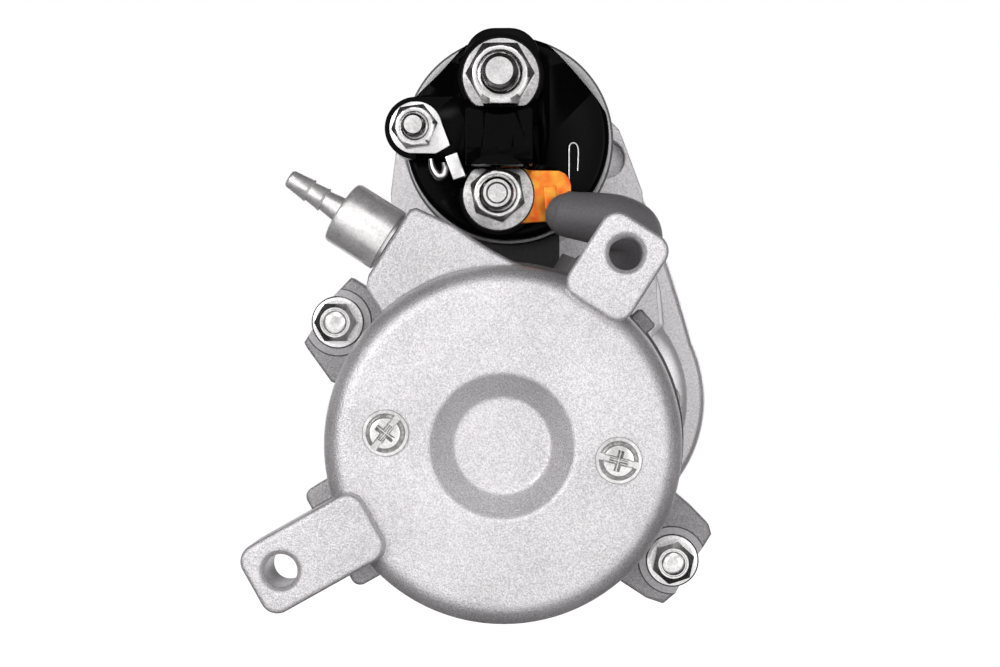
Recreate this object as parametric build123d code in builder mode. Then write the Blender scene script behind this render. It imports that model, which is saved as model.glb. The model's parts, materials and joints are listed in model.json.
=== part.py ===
from build123d import *
import os
from math import cos, hypot, pi, radians, sin

os.makedirs("parts", exist_ok=True)

# A planetary-reduction starter motor with its solenoid on top.
# The origin is the centre of the pilot at the mounting face. The shaft runs along Y:
# +Y goes through the nose to the pinion, -Y to the rear cover. The solenoid is above, at +Z.

# ---------------------------------------------------------------- driving dimensions, mm

# Stations along the shaft
Y_BACK = -140.0              # flat rear face of the rear cover
Y_COVER_SEAT = -118.0        # where the yoke stops inside the cover
Y_COVER_FRONT = -115.0
Y_YOKE_FRONT = -58.0
Y_BRACKET_REAR = -43.0       # joint between the ring gear and the centre bracket
Y_CAVITY_REAR = -26.0        # rear end of the clutch space
Y_NOSE_TIP = 55.0

# Motor body
COVER_R = 36.9               # at the rear; the wall widens forward by its draft
COVER_FRONT_R = 38.2
COVER_ROUND = 5.0
COVER_WALL = 5.0
YOKE_R = 36.5
YOKE_BORE_R = 33.0
HUB_FLOOR_R = 9.8            # dished centre of the cover
HUB_RIM_R = 15.0
HUB_DEPTH = 4.0
SHAFT_R = 5.0
BEARING_R = 11.0
BEARING_BORE_R = 4.0
BEARING_FRONT = -125.5
BEARING_WIDTH = 7.0
COMMUTATOR_R = 14.0
CORE_R = 26.2
MAGNET_BORE_R = 27.2
CORE_REAR = -102.0
CORE_FRONT = -72.0

# Cover ears: radial bars with an M8 hole
EAR_REAR = -143.0
EAR_THICK = 15.0
EAR_HOLE_R = 3.4
EAR_1_ANGLE = 209.4
EAR_1_INNER = 30.2
EAR_1_OUTER = 58.2
EAR_1_HOLE = (-44.9, -25.2)
EAR_2_ANGLE = 57.4
EAR_2_INNER = 33.6
EAR_2_OUTER = 53.2
EAR_2_HOLE = (25.1, 39.2)
EAR_WIDTH = 15.2

# Through bolts, M5, opposite each other
BOLT_X = -35.5
BOLT_Z = 25.2
BOLT_R = 2.5
BOLT_SEAT = -122.0
BOLT_HEX = 8.0
BOLT_END = -44.0

# Vent fitting on the cover's arm
ARM_REAR = -134.0
ARM_THICK = 15.0
VENT_X = -23.6
VENT_Z = 41.9
VENT_ANGLE = 147.6

# Planetary gears
GEAR_MODULE = 1.5
SUN_TEETH = 11
PLANET_TEETH = 13
RING_TEETH = 37
SUN_PITCH_R = GEAR_MODULE * SUN_TEETH / 2
PLANET_PITCH_R = GEAR_MODULE * PLANET_TEETH / 2
RING_PITCH_R = GEAR_MODULE * RING_TEETH / 2
ORBIT_R = SUN_PITCH_R + PLANET_PITCH_R
PLANET_ANGLES = (90.0, 210.0, 330.0)
GEAR_FRONT = -44.0
GEAR_WIDTH = 12.0
PIN_R = 3.5
RUNNING = 0.05               # radial running clearance

# Drive shaft, clutch and pinion
SPLINE_COUNT = 8
SPLINE_TIP_R = 8.0
SPLINE_ROOT_R = 6.7
SPLINE_LEAD = 92.0
SPLINE_REAR = -27.0
SPLINE_FRONT = -1.0
NOSE_SHAFT_R = 6.0
HUB_R = 12.0
CLUTCH_R = 19.0
CLUTCH_REAR = -8.0
CLUTCH_FRONT = 10.0
RACE_REAR = 0.0
RACE_R = 10.6
ROLLER_R = 2.25
PINION_MODULE = 2.54
PINION_TEETH = 11
PINION_LENGTH = 14.0
PINION_FRONT = CLUTCH_FRONT + PINION_LENGTH
FORK_RING_Y = -21.33
FORK_GROOVE = 3.3

# Shift lever, pivoted along X
PIVOT_Y = -15.0
PIVOT_Z = 37.0
PIVOT_R = 3.0
LEVER_LOWER = 37.0
LEVER_UPPER = 29.1
LEVER_TILT = 9.85            # lean at rest, degrees

# Solenoid
SOL_Z = 66.1
SOL_R = 23.7
SOL_REAR = -92.0
SOL_FRONT = -34.0
PLUNGER_R = 9.5
PLUNGER_REAR = -60.0
CORE_FACE = -70.6
STUD_30 = (-1.2, 78.9)
STUD_C = (-1.9, 53.2)
STUD_50 = (-20.0, 67.9)
CAP_FLOOR = -102.0           # inner floor of the terminal cap
SEAT_30 = -109.0
SEAT_C = -104.5
SEAT_50 = -107.0

# Drive housing
HOUSING_R = 37.5
HOUSING_BORE_R = 33.45
PILOT_R = 32.0
PILOT_HEIGHT = 8.0
FLANGE_THICK = 10.0
FLANGE_PCD = 78.0
FLANGE_HOLE_R = 4.5
FLANGE_ANGLE = 6.0
FLANGE_BOSS_R = 9.5
CHAMBER_WALL = 3.5

SHAFT_AXIS = Axis.Y
SOL_AXIS = Axis((0, 0, SOL_Z), (0, 1, 0))


def across(y):
    """Plane across the shaft at station y: local x is X, local y is Z, extrusions go rearward."""
    return Plane.XZ.offset(-y)


def tooth(root_r, tip_r, root_width, tip_width):
    """Straight-sided tooth that points along local x."""
    return Polygon(
        (root_r, -root_width / 2),
        (tip_r, -tip_width / 2),
        (tip_r, tip_width / 2),
        (root_r, root_width / 2),
        align=None,
    )


def hexagon(width_across_flats, turn=0.0):
    return RegularPolygon(width_across_flats / 2, 6, major_radius=False, rotation=turn)


# ---------------------------------------------------------------- rear cover

SCREW_X = 23.7
SCREW_Z = 2.75
TAB_ANGLE = 40.9
TAB_HEIGHT = 7.0
SCREW_PLACES = ((-SCREW_X, SCREW_Z), (SCREW_X, -SCREW_Z))
INNER_FACE = Y_BACK + COVER_WALL
BEARING_REAR = BEARING_FRONT - BEARING_WIDTH

with BuildPart() as rear_cover:
    with BuildSketch(Plane.XY) as rear_cover_profile:
        with BuildLine():
            Polyline(
                (0, Y_BACK + HUB_DEPTH),
                (HUB_FLOOR_R, Y_BACK + HUB_DEPTH),
                (HUB_RIM_R, Y_BACK),
                (COVER_R - COVER_ROUND, Y_BACK),
            )
            CenterArc((COVER_R - COVER_ROUND, Y_BACK + COVER_ROUND), COVER_ROUND, 270, 90)
            Polyline(
                (COVER_R, Y_BACK + COVER_ROUND),
                (COVER_FRONT_R - 0.6, Y_COVER_FRONT - 2.5),
                (COVER_FRONT_R, Y_COVER_FRONT - 2.0),
                (COVER_FRONT_R, Y_COVER_FRONT),
                (0, Y_COVER_FRONT),
                (0, Y_BACK + HUB_DEPTH),
            )
        make_face()
        hub_corners = rear_cover_profile.vertices().filter_by_position(Axis.X, 1.0, HUB_RIM_R + 1.0)
        hub_corners = hub_corners.filter_by_position(Axis.Y, Y_BACK - 1.0, Y_BACK + HUB_DEPTH + 1.0)
        fillet(hub_corners, radius=1.6)
    revolve(axis=SHAFT_AXIS)

    # Arm that carries the vent fitting
    with BuildSketch(across(ARM_REAR + ARM_THICK)):
        with BuildLine():
            Polyline((12.0, 30.0), (9.0, 35.0))
            ThreePointArc((9.0, 35.0), (-0.5, 39.2), (-10.0, 45.3))
            Polyline(
                (-10.0, 45.3), (-18.0, 49.0), (-19.3, 48.6), (-27.8, 35.2), (-28.3, 32.4),
                (-24.1, 26.0), (12.0, 30.0),
            )
        make_face()
    extrude(amount=ARM_THICK)
    arm_rim = rear_cover.faces().filter_by(Axis.Y).sort_by(Axis.Y).filter_by_position(
        Axis.Y, ARM_REAR - 0.01, ARM_REAR + 0.01
    )
    fillet(arm_rim.edges().filter_by_position(Axis.Z, 38.0, 60.0), radius=1.0)

    # Flat lugs under the through-bolt heads
    with BuildSketch(across(Y_COVER_FRONT)):
        with BuildLine():
            Polyline(
                (-22.0, 28.0), (-32.7, 34.7), (-36.7, 30.5), (-42.7, 20.9), (-42.1, 19.7),
                (-36.9, 12.5), (-28.0, 10.0), (-22.0, 28.0),
            )
        make_face()
        with BuildLine():
            Polyline(
                (22.0, -28.0), (30.0, -33.2), (33.6, -34.4), (36.2, -32.2), (39.4, -26.0),
                (42.2, -22.2), (43.8, -19.6), (43.2, -17.6), (39.4, -13.7), (36.0, -10.8),
                (28.0, -10.0), (22.0, -28.0),
            )
        make_face()
    extrude(amount=Y_COVER_FRONT - BOLT_SEAT)

    # Locating tab on the cover's lip
    with BuildSketch(across(Y_COVER_FRONT)):
        with PolarLocations(37.6, 1, start_angle=TAB_ANGLE):
            RectangleRounded(5.4, 5.0, 0.8)
    extrude(amount=TAB_HEIGHT)

    # Block that stiffens the rim under the long ear
    with BuildSketch(across(Y_COVER_FRONT)):
        with PolarLocations(36.0, 1, start_angle=EAR_1_ANGLE):
            RectangleRounded(12.0, 23.0, 2.0)
    extrude(amount=Y_COVER_FRONT - EAR_REAR - EAR_THICK)

    # Ears, raised from the face as pads
    for angle, inner, outer in (
        (EAR_1_ANGLE, EAR_1_INNER, EAR_1_OUTER),
        (EAR_2_ANGLE, EAR_2_INNER, EAR_2_OUTER),
    ):
        with BuildSketch(across(EAR_REAR + EAR_THICK)):
            with PolarLocations((inner + outer) / 2, 1, start_angle=angle):
                RectangleRounded(outer - inner, EAR_WIDTH, 3.6)
        extrude(amount=EAR_THICK)
    pad_faces = rear_cover.faces().filter_by(Axis.Y).group_by(Axis.Y)[0]
    fillet(pad_faces.edges(), radius=0.9)

    # Inside: rebate for the yoke, brush space, bearing pocket
    with BuildSketch(Plane.XY):
        with BuildLine():
            Polyline(
                (0, Y_COVER_FRONT),
                (YOKE_R, Y_COVER_FRONT),
                (YOKE_R, Y_COVER_SEAT),
                (YOKE_BORE_R + 0.4, Y_COVER_SEAT),
                (YOKE_BORE_R + 0.4, INNER_FACE),
                (BEARING_R + 3.5, INNER_FACE),
                (BEARING_R + 3.5, BEARING_FRONT),
                (BEARING_R, BEARING_FRONT),
                (BEARING_R, BEARING_REAR),
                (0, BEARING_REAR),
                (0, Y_COVER_FRONT),
            )
        make_face()
    revolve(axis=SHAFT_AXIS, mode=Mode.SUBTRACT)

    # Bosses and holes for the two brush-holder screws
    with BuildSketch(across(INNER_FACE + 7.0)):
        with Locations(*SCREW_PLACES):
            Circle(4.6)
    extrude(amount=8.0)
    with BuildSketch(across(INNER_FACE + 7.0)):
        with Locations(*SCREW_PLACES):
            Circle(2.2)
    extrude(amount=14.0, mode=Mode.SUBTRACT)
    with BuildSketch(across(Y_COVER_FRONT)):
        with Locations((BOLT_X, BOLT_Z), (-BOLT_X, -BOLT_Z)):
            Circle(BOLT_R + 0.3)
    extrude(amount=12.0, mode=Mode.SUBTRACT)
    with Locations(across(EAR_REAR)):
        with Locations(EAR_1_HOLE, EAR_2_HOLE):
            CounterSinkHole(EAR_HOLE_R, EAR_HOLE_R + 0.9)

    # Vent passage through the arm into the brush space
    with BuildSketch(
        Plane(
            origin=(VENT_X, ARM_REAR + ARM_THICK / 2, VENT_Z),
            x_dir=(0, 1, 0),
            z_dir=(cos(radians(VENT_ANGLE)), 0, sin(radians(VENT_ANGLE))),
        )
    ):
        Circle(4.0)
    extrude(amount=-7.0, mode=Mode.SUBTRACT)
    with BuildSketch(
        Plane(
            origin=(VENT_X, ARM_REAR + ARM_THICK / 2, VENT_Z),
            x_dir=(0, 1, 0),
            z_dir=(cos(radians(VENT_ANGLE)), 0, sin(radians(VENT_ANGLE))),
        )
    ):
        Circle(2.5)
    extrude(amount=-22.0, mode=Mode.SUBTRACT)

rear_cover.part.label = "rear_cover"
export_step(rear_cover.part, "parts/rear_cover.step")

# ---------------------------------------------------------------- cover screws and through bolts

with BuildPart() as cover_screws:
    for x, z in SCREW_PLACES:
        with BuildSketch(across(Y_BACK)):
            with Locations((x, z)):
                Circle(4.8)
        extrude(amount=0.7)
        with BuildSketch(across(Y_BACK - 0.7)):
            with Locations((x, z)):
                Circle(3.8)
        extrude(amount=2.1, taper=12)
        with BuildSketch(across(INNER_FACE + 12.0)):
            with Locations((x, z)):
                Circle(2.0)
        extrude(amount=18.0)
    for (x, z), turn in zip(SCREW_PLACES, (52.0, -14.5)):
        with BuildSketch(across(Y_BACK - 1.6)):
            with Locations((x, z)):
                Rectangle(8.0, 0.9, rotation=turn)
                Rectangle(4.4, 0.9, rotation=turn + 90)
        extrude(amount=2.0, mode=Mode.SUBTRACT)

cover_screws.part.label = "cover_screws"
export_step(cover_screws.part, "parts/cover_screws.step")

with BuildPart() as through_bolts:
    bolt_places = ((BOLT_X, BOLT_Z), (-BOLT_X, -BOLT_Z))
    for place in bolt_places:
        with BuildSketch(across(BOLT_END)):
            with Locations(place):
                Circle(BOLT_R)
        extrude(amount=BOLT_END - BOLT_SEAT + 2.0)
        with BuildSketch(across(BOLT_SEAT)):
            with Locations(place):
                Circle(4.9)
        extrude(amount=1.0)
        with BuildSketch(across(BOLT_SEAT - 1.0)):
            with Locations(place):
                hexagon(BOLT_HEX)
        extrude(amount=4.6)
        with BuildSketch(across(BOLT_SEAT - 5.6)):
            with Locations(place):
                Circle(3.6)
        extrude(amount=1.3, taper=40)

through_bolts.part.label = "through_bolts"
export_step(through_bolts.part, "parts/through_bolts.step")

# ---------------------------------------------------------------- yoke, magnets and brushes

GROMMET_ANGLE = 67.8
GROMMET_Y = -103.0

with BuildPart() as yoke:
    with BuildSketch(across(Y_YOKE_FRONT)):
        Circle(YOKE_R)
        Circle(YOKE_BORE_R, mode=Mode.SUBTRACT)
    extrude(amount=Y_YOKE_FRONT - Y_COVER_SEAT)
    with BuildSketch(
        Plane(
            origin=(0, GROMMET_Y, 0),
            x_dir=(0, 1, 0),
            z_dir=(cos(radians(GROMMET_ANGLE)), 0, sin(radians(GROMMET_ANGLE))),
        )
    ):
        Circle(3.6)
    extrude(amount=YOKE_R + 5.0, mode=Mode.SUBTRACT)

yoke.part.label = "yoke"
export_step(yoke.part, "parts/yoke.step")

with BuildPart() as field_magnets:
    with BuildSketch(across(-68.0)):
        Circle(YOKE_BORE_R)
        Circle(MAGNET_BORE_R, mode=Mode.SUBTRACT)
        with PolarLocations(30.0, 6, start_angle=30.0):
            Rectangle(12.0, 7.0, mode=Mode.SUBTRACT)
    extrude(amount=38.0)

field_magnets.part.label = "field_magnets"
export_step(field_magnets.part, "parts/field_magnets.step")

BRUSH_PLATE_FRONT = -125.5
BRUSH_WIDTH = 7.0
BRUSH_BOX = 9.4

with BuildPart() as brush_holder:
    with BuildSketch(across(BRUSH_PLATE_FRONT)):
        Circle(YOKE_BORE_R - 0.2)
        Circle(BEARING_R + 3.7, mode=Mode.SUBTRACT)
        with Locations(*SCREW_PLACES):
            Circle(2.0, mode=Mode.SUBTRACT)
    extrude(amount=2.4)
    with BuildSketch(across(-112.0)):
        with PolarLocations(22.5, 4, start_angle=45.0):
            Rectangle(14.0, BRUSH_BOX)
    extrude(amount=13.5)
    with BuildSketch(across(-112.8)):
        with PolarLocations(22.5, 4, start_angle=45.0):
            Rectangle(16.0, BRUSH_WIDTH + 0.2)
    extrude(amount=10.2, mode=Mode.SUBTRACT)

brush_holder.part.label = "brush_holder"
export_step(brush_holder.part, "parts/brush_holder.step")

with BuildPart() as brushes:
    with BuildSketch(across(-113.0)):
        with PolarLocations(19.6, 4, start_angle=45.0):
            Rectangle(11.0, BRUSH_WIDTH)
        Circle(COMMUTATOR_R + 0.06, mode=Mode.SUBTRACT)
    extrude(amount=9.8)

brushes.part.label = "brushes"
export_step(brushes.part, "parts/brushes.step")

with BuildPart() as brush_springs:
    with BuildSketch(across(-114.5)):
        with PolarLocations(28.6, 4, start_angle=45.0):
            Circle(3.1)
            Circle(2.5, mode=Mode.SUBTRACT)
    extrude(amount=6.0)

brush_springs.part.label = "brush_springs"
export_step(brush_springs.part, "parts/brush_springs.step")

# ---------------------------------------------------------------- rear bearing and armature

with BuildPart() as rear_bearing_outer:
    with BuildSketch(across(BEARING_FRONT)):
        Circle(BEARING_R)
        Circle(BEARING_R - 2.0, mode=Mode.SUBTRACT)
    extrude(amount=BEARING_WIDTH)
    for shield_front in (BEARING_FRONT - 0.6, BEARING_REAR + 1.0):
        with BuildSketch(across(shield_front)):
            Circle(BEARING_R - 1.9)
            Circle(6.3, mode=Mode.SUBTRACT)
        extrude(amount=0.4)

rear_bearing_outer.part.label = "rear_bearing_outer"
export_step(rear_bearing_outer.part, "parts/rear_bearing_outer.step")

with BuildPart() as rear_bearing_inner:
    with BuildSketch(across(BEARING_FRONT)):
        Circle(6.0)
        Circle(BEARING_BORE_R, mode=Mode.SUBTRACT)
    extrude(amount=BEARING_WIDTH - 0.4)

rear_bearing_inner.part.label = "rear_bearing_inner"
export_step(rear_bearing_inner.part, "parts/rear_bearing_inner.step")

with BuildPart() as armature_shaft:
    with BuildSketch(across(-38.5)):
        Circle(4.0)
    extrude(amount=94.0)
    with BuildSketch(across(GEAR_FRONT - 0.5)):
        Circle(SHAFT_R)
    extrude(amount=GEAR_FRONT - 0.5 - BEARING_FRONT)

armature_shaft.part.label = "armature_shaft"
export_step(armature_shaft.part, "parts/armature_shaft.step")

with BuildPart() as commutator:
    with BuildSketch(across(-110.0)):
        Circle(COMMUTATOR_R)
        Circle(SHAFT_R, mode=Mode.SUBTRACT)
        with PolarLocations(COMMUTATOR_R, 22):
            Rectangle(1.6, 0.6, mode=Mode.SUBTRACT)
    extrude(amount=13.5)

commutator.part.label = "commutator"
export_step(commutator.part, "parts/commutator.step")

SLOT_COUNT = 22

with BuildPart() as armature_core:
    with BuildSketch(across(CORE_FRONT)):
        Circle(CORE_R)
        Circle(SHAFT_R, mode=Mode.SUBTRACT)
        with PolarLocations(CORE_R - 3.5, SLOT_COUNT):
            Rectangle(8.0, 2.4, mode=Mode.SUBTRACT)
    extrude(amount=CORE_FRONT - CORE_REAR)

armature_core.part.label = "armature_core"
export_step(armature_core.part, "parts/armature_core.step")

with BuildPart() as armature_windings:
    with BuildSketch(across(CORE_FRONT + 6.0)):
        with PolarLocations(CORE_R - 4.2, SLOT_COUNT):
            Rectangle(5.6, 2.0)
    extrude(amount=CORE_FRONT - CORE_REAR + 12.0)
    for end_front in (CORE_FRONT + 6.5, CORE_REAR - 0.1):
        with BuildSketch(across(end_front)):
            Circle(CORE_R - 1.2)
            Circle(SHAFT_R + 5.0, mode=Mode.SUBTRACT)
        extrude(amount=6.4)

armature_windings.part.label = "armature_windings"
export_step(armature_windings.part, "parts/armature_windings.step")

# ---------------------------------------------------------------- planetary reduction

PITCH = pi * GEAR_MODULE
ADDENDUM = 1.4
DEDENDUM = 1.8

with BuildPart() as sun_gear:
    with BuildSketch(across(GEAR_FRONT - 0.5)):
        Circle(SUN_PITCH_R - DEDENDUM)
        with PolarLocations(0, SUN_TEETH, start_angle=PLANET_ANGLES[0]):
            tooth(SUN_PITCH_R - DEDENDUM - 0.4, SUN_PITCH_R + ADDENDUM, 2.9, 0.9)
        Circle(SHAFT_R, mode=Mode.SUBTRACT)
    extrude(amount=GEAR_WIDTH)

sun_gear.part.label = "sun_gear"
export_step(sun_gear.part, "parts/sun_gear.step")


def planet_phase(orbit_angle):
    """Angle of a planet tooth that puts the planet in mesh with the sun at rest."""
    sun_step = 360.0 / SUN_TEETH
    steps = round((orbit_angle - PLANET_ANGLES[0]) / sun_step)
    past_line = radians(PLANET_ANGLES[0] + steps * sun_step - orbit_angle) * SUN_PITCH_R
    turn = -(past_line + PITCH / 2) / PLANET_PITCH_R
    return orbit_angle + 180.0 + turn * 180.0 / pi


for number, orbit_angle in enumerate(PLANET_ANGLES, start=1):
    centre = (ORBIT_R * cos(radians(orbit_angle)), ORBIT_R * sin(radians(orbit_angle)))
    with BuildPart() as planet_gear:
        with BuildSketch(across(GEAR_FRONT)):
            with Locations(centre):
                Circle(PLANET_PITCH_R - DEDENDUM)
                with PolarLocations(0, PLANET_TEETH, start_angle=planet_phase(orbit_angle)):
                    tooth(PLANET_PITCH_R - DEDENDUM - 0.4, PLANET_PITCH_R + ADDENDUM, 2.9, 0.9)
                Circle(PIN_R + RUNNING, mode=Mode.SUBTRACT)
        extrude(amount=GEAR_WIDTH)
    planet_gear.part.label = f"planet_gear_{number}"
    export_step(planet_gear.part, f"parts/planet_gear_{number}.step")

with BuildPart() as ring_gear:
    with BuildSketch(across(Y_BRACKET_REAR)):
        Circle(HOUSING_BORE_R)
        Circle(RING_PITCH_R - ADDENDUM, mode=Mode.SUBTRACT)
        with PolarLocations(0, RING_TEETH, start_angle=PLANET_ANGLES[0]):
            Polygon(
                (RING_PITCH_R - 2.0, -1.85),
                (RING_PITCH_R + DEDENDUM, -0.75),
                (RING_PITCH_R + DEDENDUM, 0.75),
                (RING_PITCH_R - 2.0, 1.85),
                align=None,
                mode=Mode.SUBTRACT,
            )
    extrude(amount=13.4)

ring_gear.part.label = "ring_gear"
export_step(ring_gear.part, "parts/ring_gear.step")

with BuildPart() as partition_plate:
    with BuildSketch(across(Y_BRACKET_REAR - 13.4)):
        Circle(HOUSING_BORE_R)
        Circle(10.5, mode=Mode.SUBTRACT)
    extrude(amount=1.6)

partition_plate.part.label = "partition_plate"
export_step(partition_plate.part, "parts/partition_plate.step")

with BuildPart() as planet_pins:
    with BuildSketch(across(-37.5)):
        with PolarLocations(ORBIT_R, 3, start_angle=PLANET_ANGLES[0]):
            Circle(PIN_R)
    extrude(amount=18.6)

planet_pins.part.label = "planet_pins"
export_step(planet_pins.part, "parts/planet_pins.step")

BUSH_FRONT = -28.0
BUSH_REAR = -35.5

with BuildPart() as centre_bracket:
    with BuildSketch(Plane.XY):
        with BuildLine():
            Polyline(
                (29.0, Y_BRACKET_REAR),
                (HOUSING_BORE_R, Y_BRACKET_REAR),
                (HOUSING_BORE_R, -31.0),
                (14.5, -31.0),
                (14.5, BUSH_FRONT),
                (11.0, BUSH_FRONT),
                (11.0, BUSH_REAR),
                (29.0, BUSH_REAR),
                (29.0, Y_BRACKET_REAR),
            )
        make_face()
    revolve(axis=SHAFT_AXIS)

centre_bracket.part.label = "centre_bracket"
export_step(centre_bracket.part, "parts/centre_bracket.step")

with BuildPart() as centre_bushing:
    with BuildSketch(across(BUSH_FRONT)):
        Circle(11.0)
        Circle(SPLINE_TIP_R + RUNNING, mode=Mode.SUBTRACT)
    extrude(amount=BUSH_FRONT - BUSH_REAR)

centre_bushing.part.label = "centre_bushing"
export_step(centre_bushing.part, "parts/centre_bushing.step")

# ---------------------------------------------------------------- drive shaft

CARRIER_FRONT = -37.0
CARRIER_REAR = -42.5


def spline_outline(grow):
    """Star section of the helical splines, grown outward by a clearance."""
    with BuildSketch(across(SPLINE_FRONT), mode=Mode.PRIVATE) as section:
        Circle(SPLINE_ROOT_R + grow)
        with PolarLocations(0, SPLINE_COUNT):
            tooth(SPLINE_ROOT_R - 1.0, SPLINE_TIP_R + grow, 3.0 + 2 * grow, 2.2 + 2 * grow)
    return section.sketch.face()


def helical(face, front, rear):
    """Screw-shaped solid that turns one lap per lead, from the front station rearward."""
    start = face.rotate(Axis.Y, (front - SPLINE_FRONT) * 360.0 / SPLINE_LEAD)
    start = start.moved(Location((0, front - SPLINE_FRONT, 0)))
    return Solid.extrude_linear_with_rotation(
        start, (0, front, 0), (0, rear - front, 0), -(rear - front) * 360.0 / SPLINE_LEAD
    )


shaft_splines = helical(spline_outline(0.0), SPLINE_FRONT, SPLINE_REAR)
hub_splines = helical(spline_outline(0.15), RACE_REAR, Y_CAVITY_REAR - 1.0)

with BuildPart() as drive_shaft:
    with BuildSketch(across(CARRIER_FRONT)):
        Circle(24.0)
        with PolarLocations(ORBIT_R, 3, start_angle=PLANET_ANGLES[0]):
            Circle(PIN_R, mode=Mode.SUBTRACT)
    extrude(amount=CARRIER_FRONT - CARRIER_REAR)
    with BuildSketch(across(SPLINE_REAR)):
        Circle(SPLINE_TIP_R)
    extrude(amount=SPLINE_REAR - CARRIER_FRONT)
    add(shaft_splines)
    with BuildSketch(across(52.0)):
        Circle(NOSE_SHAFT_R)
    extrude(amount=52.0 - SPLINE_FRONT)
    with BuildSketch(across(CARRIER_REAR + 5.0)):
        Circle(4.0 + RUNNING)
    extrude(amount=8.0, mode=Mode.SUBTRACT)

drive_shaft.part.label = "drive_shaft"
export_step(drive_shaft.part, "parts/drive_shaft.step")

with BuildPart() as pinion_stop:
    with BuildSketch(across(41.0)):
        Circle(9.0)
        Circle(NOSE_SHAFT_R, mode=Mode.SUBTRACT)
    extrude(amount=3.5)

pinion_stop.part.label = "pinion_stop"
export_step(pinion_stop.part, "parts/pinion_stop.step")

# ---------------------------------------------------------------- overrunning clutch and pinion

RACE_BORE_R = RACE_R + 2 * ROLLER_R + 0.1

with BuildPart() as clutch_barrel:
    with BuildSketch(Plane.XY):
        with BuildLine():
            Polyline(
                (NOSE_SHAFT_R + 0.1, Y_CAVITY_REAR),
                (HUB_R, Y_CAVITY_REAR),
                (HUB_R, CLUTCH_REAR),
                (CLUTCH_R - 1.5, CLUTCH_REAR),
                (CLUTCH_R, CLUTCH_REAR + 1.5),
                (CLUTCH_R, CLUTCH_FRONT - 1.5),
                (CLUTCH_R - 1.5, CLUTCH_FRONT),
                (RACE_R + 0.1, CLUTCH_FRONT),
                (RACE_R + 0.1, CLUTCH_FRONT - 2.0),
                (RACE_BORE_R, CLUTCH_FRONT - 2.0),
                (RACE_BORE_R, RACE_REAR - 0.6),
                (NOSE_SHAFT_R + 0.1, RACE_REAR - 0.6),
                (NOSE_SHAFT_R + 0.1, Y_CAVITY_REAR),
            )
        make_face()
    revolve(axis=SHAFT_AXIS)
    add(hub_splines, mode=Mode.SUBTRACT)

clutch_barrel.part.label = "clutch_barrel"
export_step(clutch_barrel.part, "parts/clutch_barrel.step")

with BuildPart() as clutch_rollers:
    with BuildSketch(across(CLUTCH_FRONT - 2.2)):
        with PolarLocations(RACE_R + ROLLER_R + 0.05, 6):
            Circle(ROLLER_R)
    extrude(amount=7.6)

clutch_rollers.part.label = "clutch_rollers"
export_step(clutch_rollers.part, "parts/clutch_rollers.step")

PINION_PITCH_R = PINION_MODULE * PINION_TEETH / 2

with BuildPart() as pinion:
    with BuildSketch(across(PINION_FRONT)):
        Circle(PINION_PITCH_R - 3.0)
        with PolarLocations(0, PINION_TEETH):
            tooth(PINION_PITCH_R - 4.0, PINION_PITCH_R + 2.5, 6.2, 1.9)
    extrude(amount=PINION_LENGTH)
    nose_edges = pinion.faces().sort_by(Axis.Y)[-1].edges()
    chamfer(nose_edges, length=0.8)
    with BuildSketch(across(CLUTCH_FRONT)):
        Circle(RACE_R)
    extrude(amount=CLUTCH_FRONT - RACE_REAR)
    with BuildSketch(across(PINION_FRONT)):
        Circle(NOSE_SHAFT_R + RUNNING)
    extrude(amount=40.0, mode=Mode.SUBTRACT)

pinion.part.label = "pinion"
export_step(pinion.part, "parts/pinion.step")

FORK_RING_HALF = 3.1
FORK_GROOVE_R = 15.2
FORK_RING_R = 18.9

with BuildPart() as fork_ring:
    with BuildSketch(Plane.XY):
        with BuildLine():
            Polyline(
                (HUB_R + RUNNING, FORK_RING_Y - FORK_RING_HALF),
                (FORK_RING_R, FORK_RING_Y - FORK_RING_HALF),
                (FORK_RING_R, FORK_RING_Y - FORK_GROOVE / 2),
                (FORK_GROOVE_R, FORK_RING_Y - FORK_GROOVE / 2),
                (FORK_GROOVE_R, FORK_RING_Y + FORK_GROOVE / 2),
                (FORK_RING_R, FORK_RING_Y + FORK_GROOVE / 2),
                (FORK_RING_R, FORK_RING_Y + FORK_RING_HALF),
                (HUB_R + RUNNING, FORK_RING_Y + FORK_RING_HALF),
                (HUB_R + RUNNING, FORK_RING_Y - FORK_RING_HALF),
            )
        make_face()
    revolve(axis=SHAFT_AXIS)

fork_ring.part.label = "fork_ring"
export_step(fork_ring.part, "parts/fork_ring.step")

# ---------------------------------------------------------------- shift lever

TILT_COS = cos(radians(LEVER_TILT))
TILT_SIN = sin(radians(LEVER_TILT))
LEVER_FACE = Plane(
    origin=(0, PIVOT_Y, PIVOT_Z), x_dir=(1, 0, 0), z_dir=(0, -TILT_COS, TILT_SIN)
)
LEVER_SIDE = Plane(
    origin=(0, PIVOT_Y, PIVOT_Z), x_dir=(0, TILT_COS, -TILT_SIN), z_dir=(1, 0, 0)
)
TINE_IN = 19.6
TINE_OUT = 22.6
PAD_R = 1.5
HOOK_R = 3.0

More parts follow.
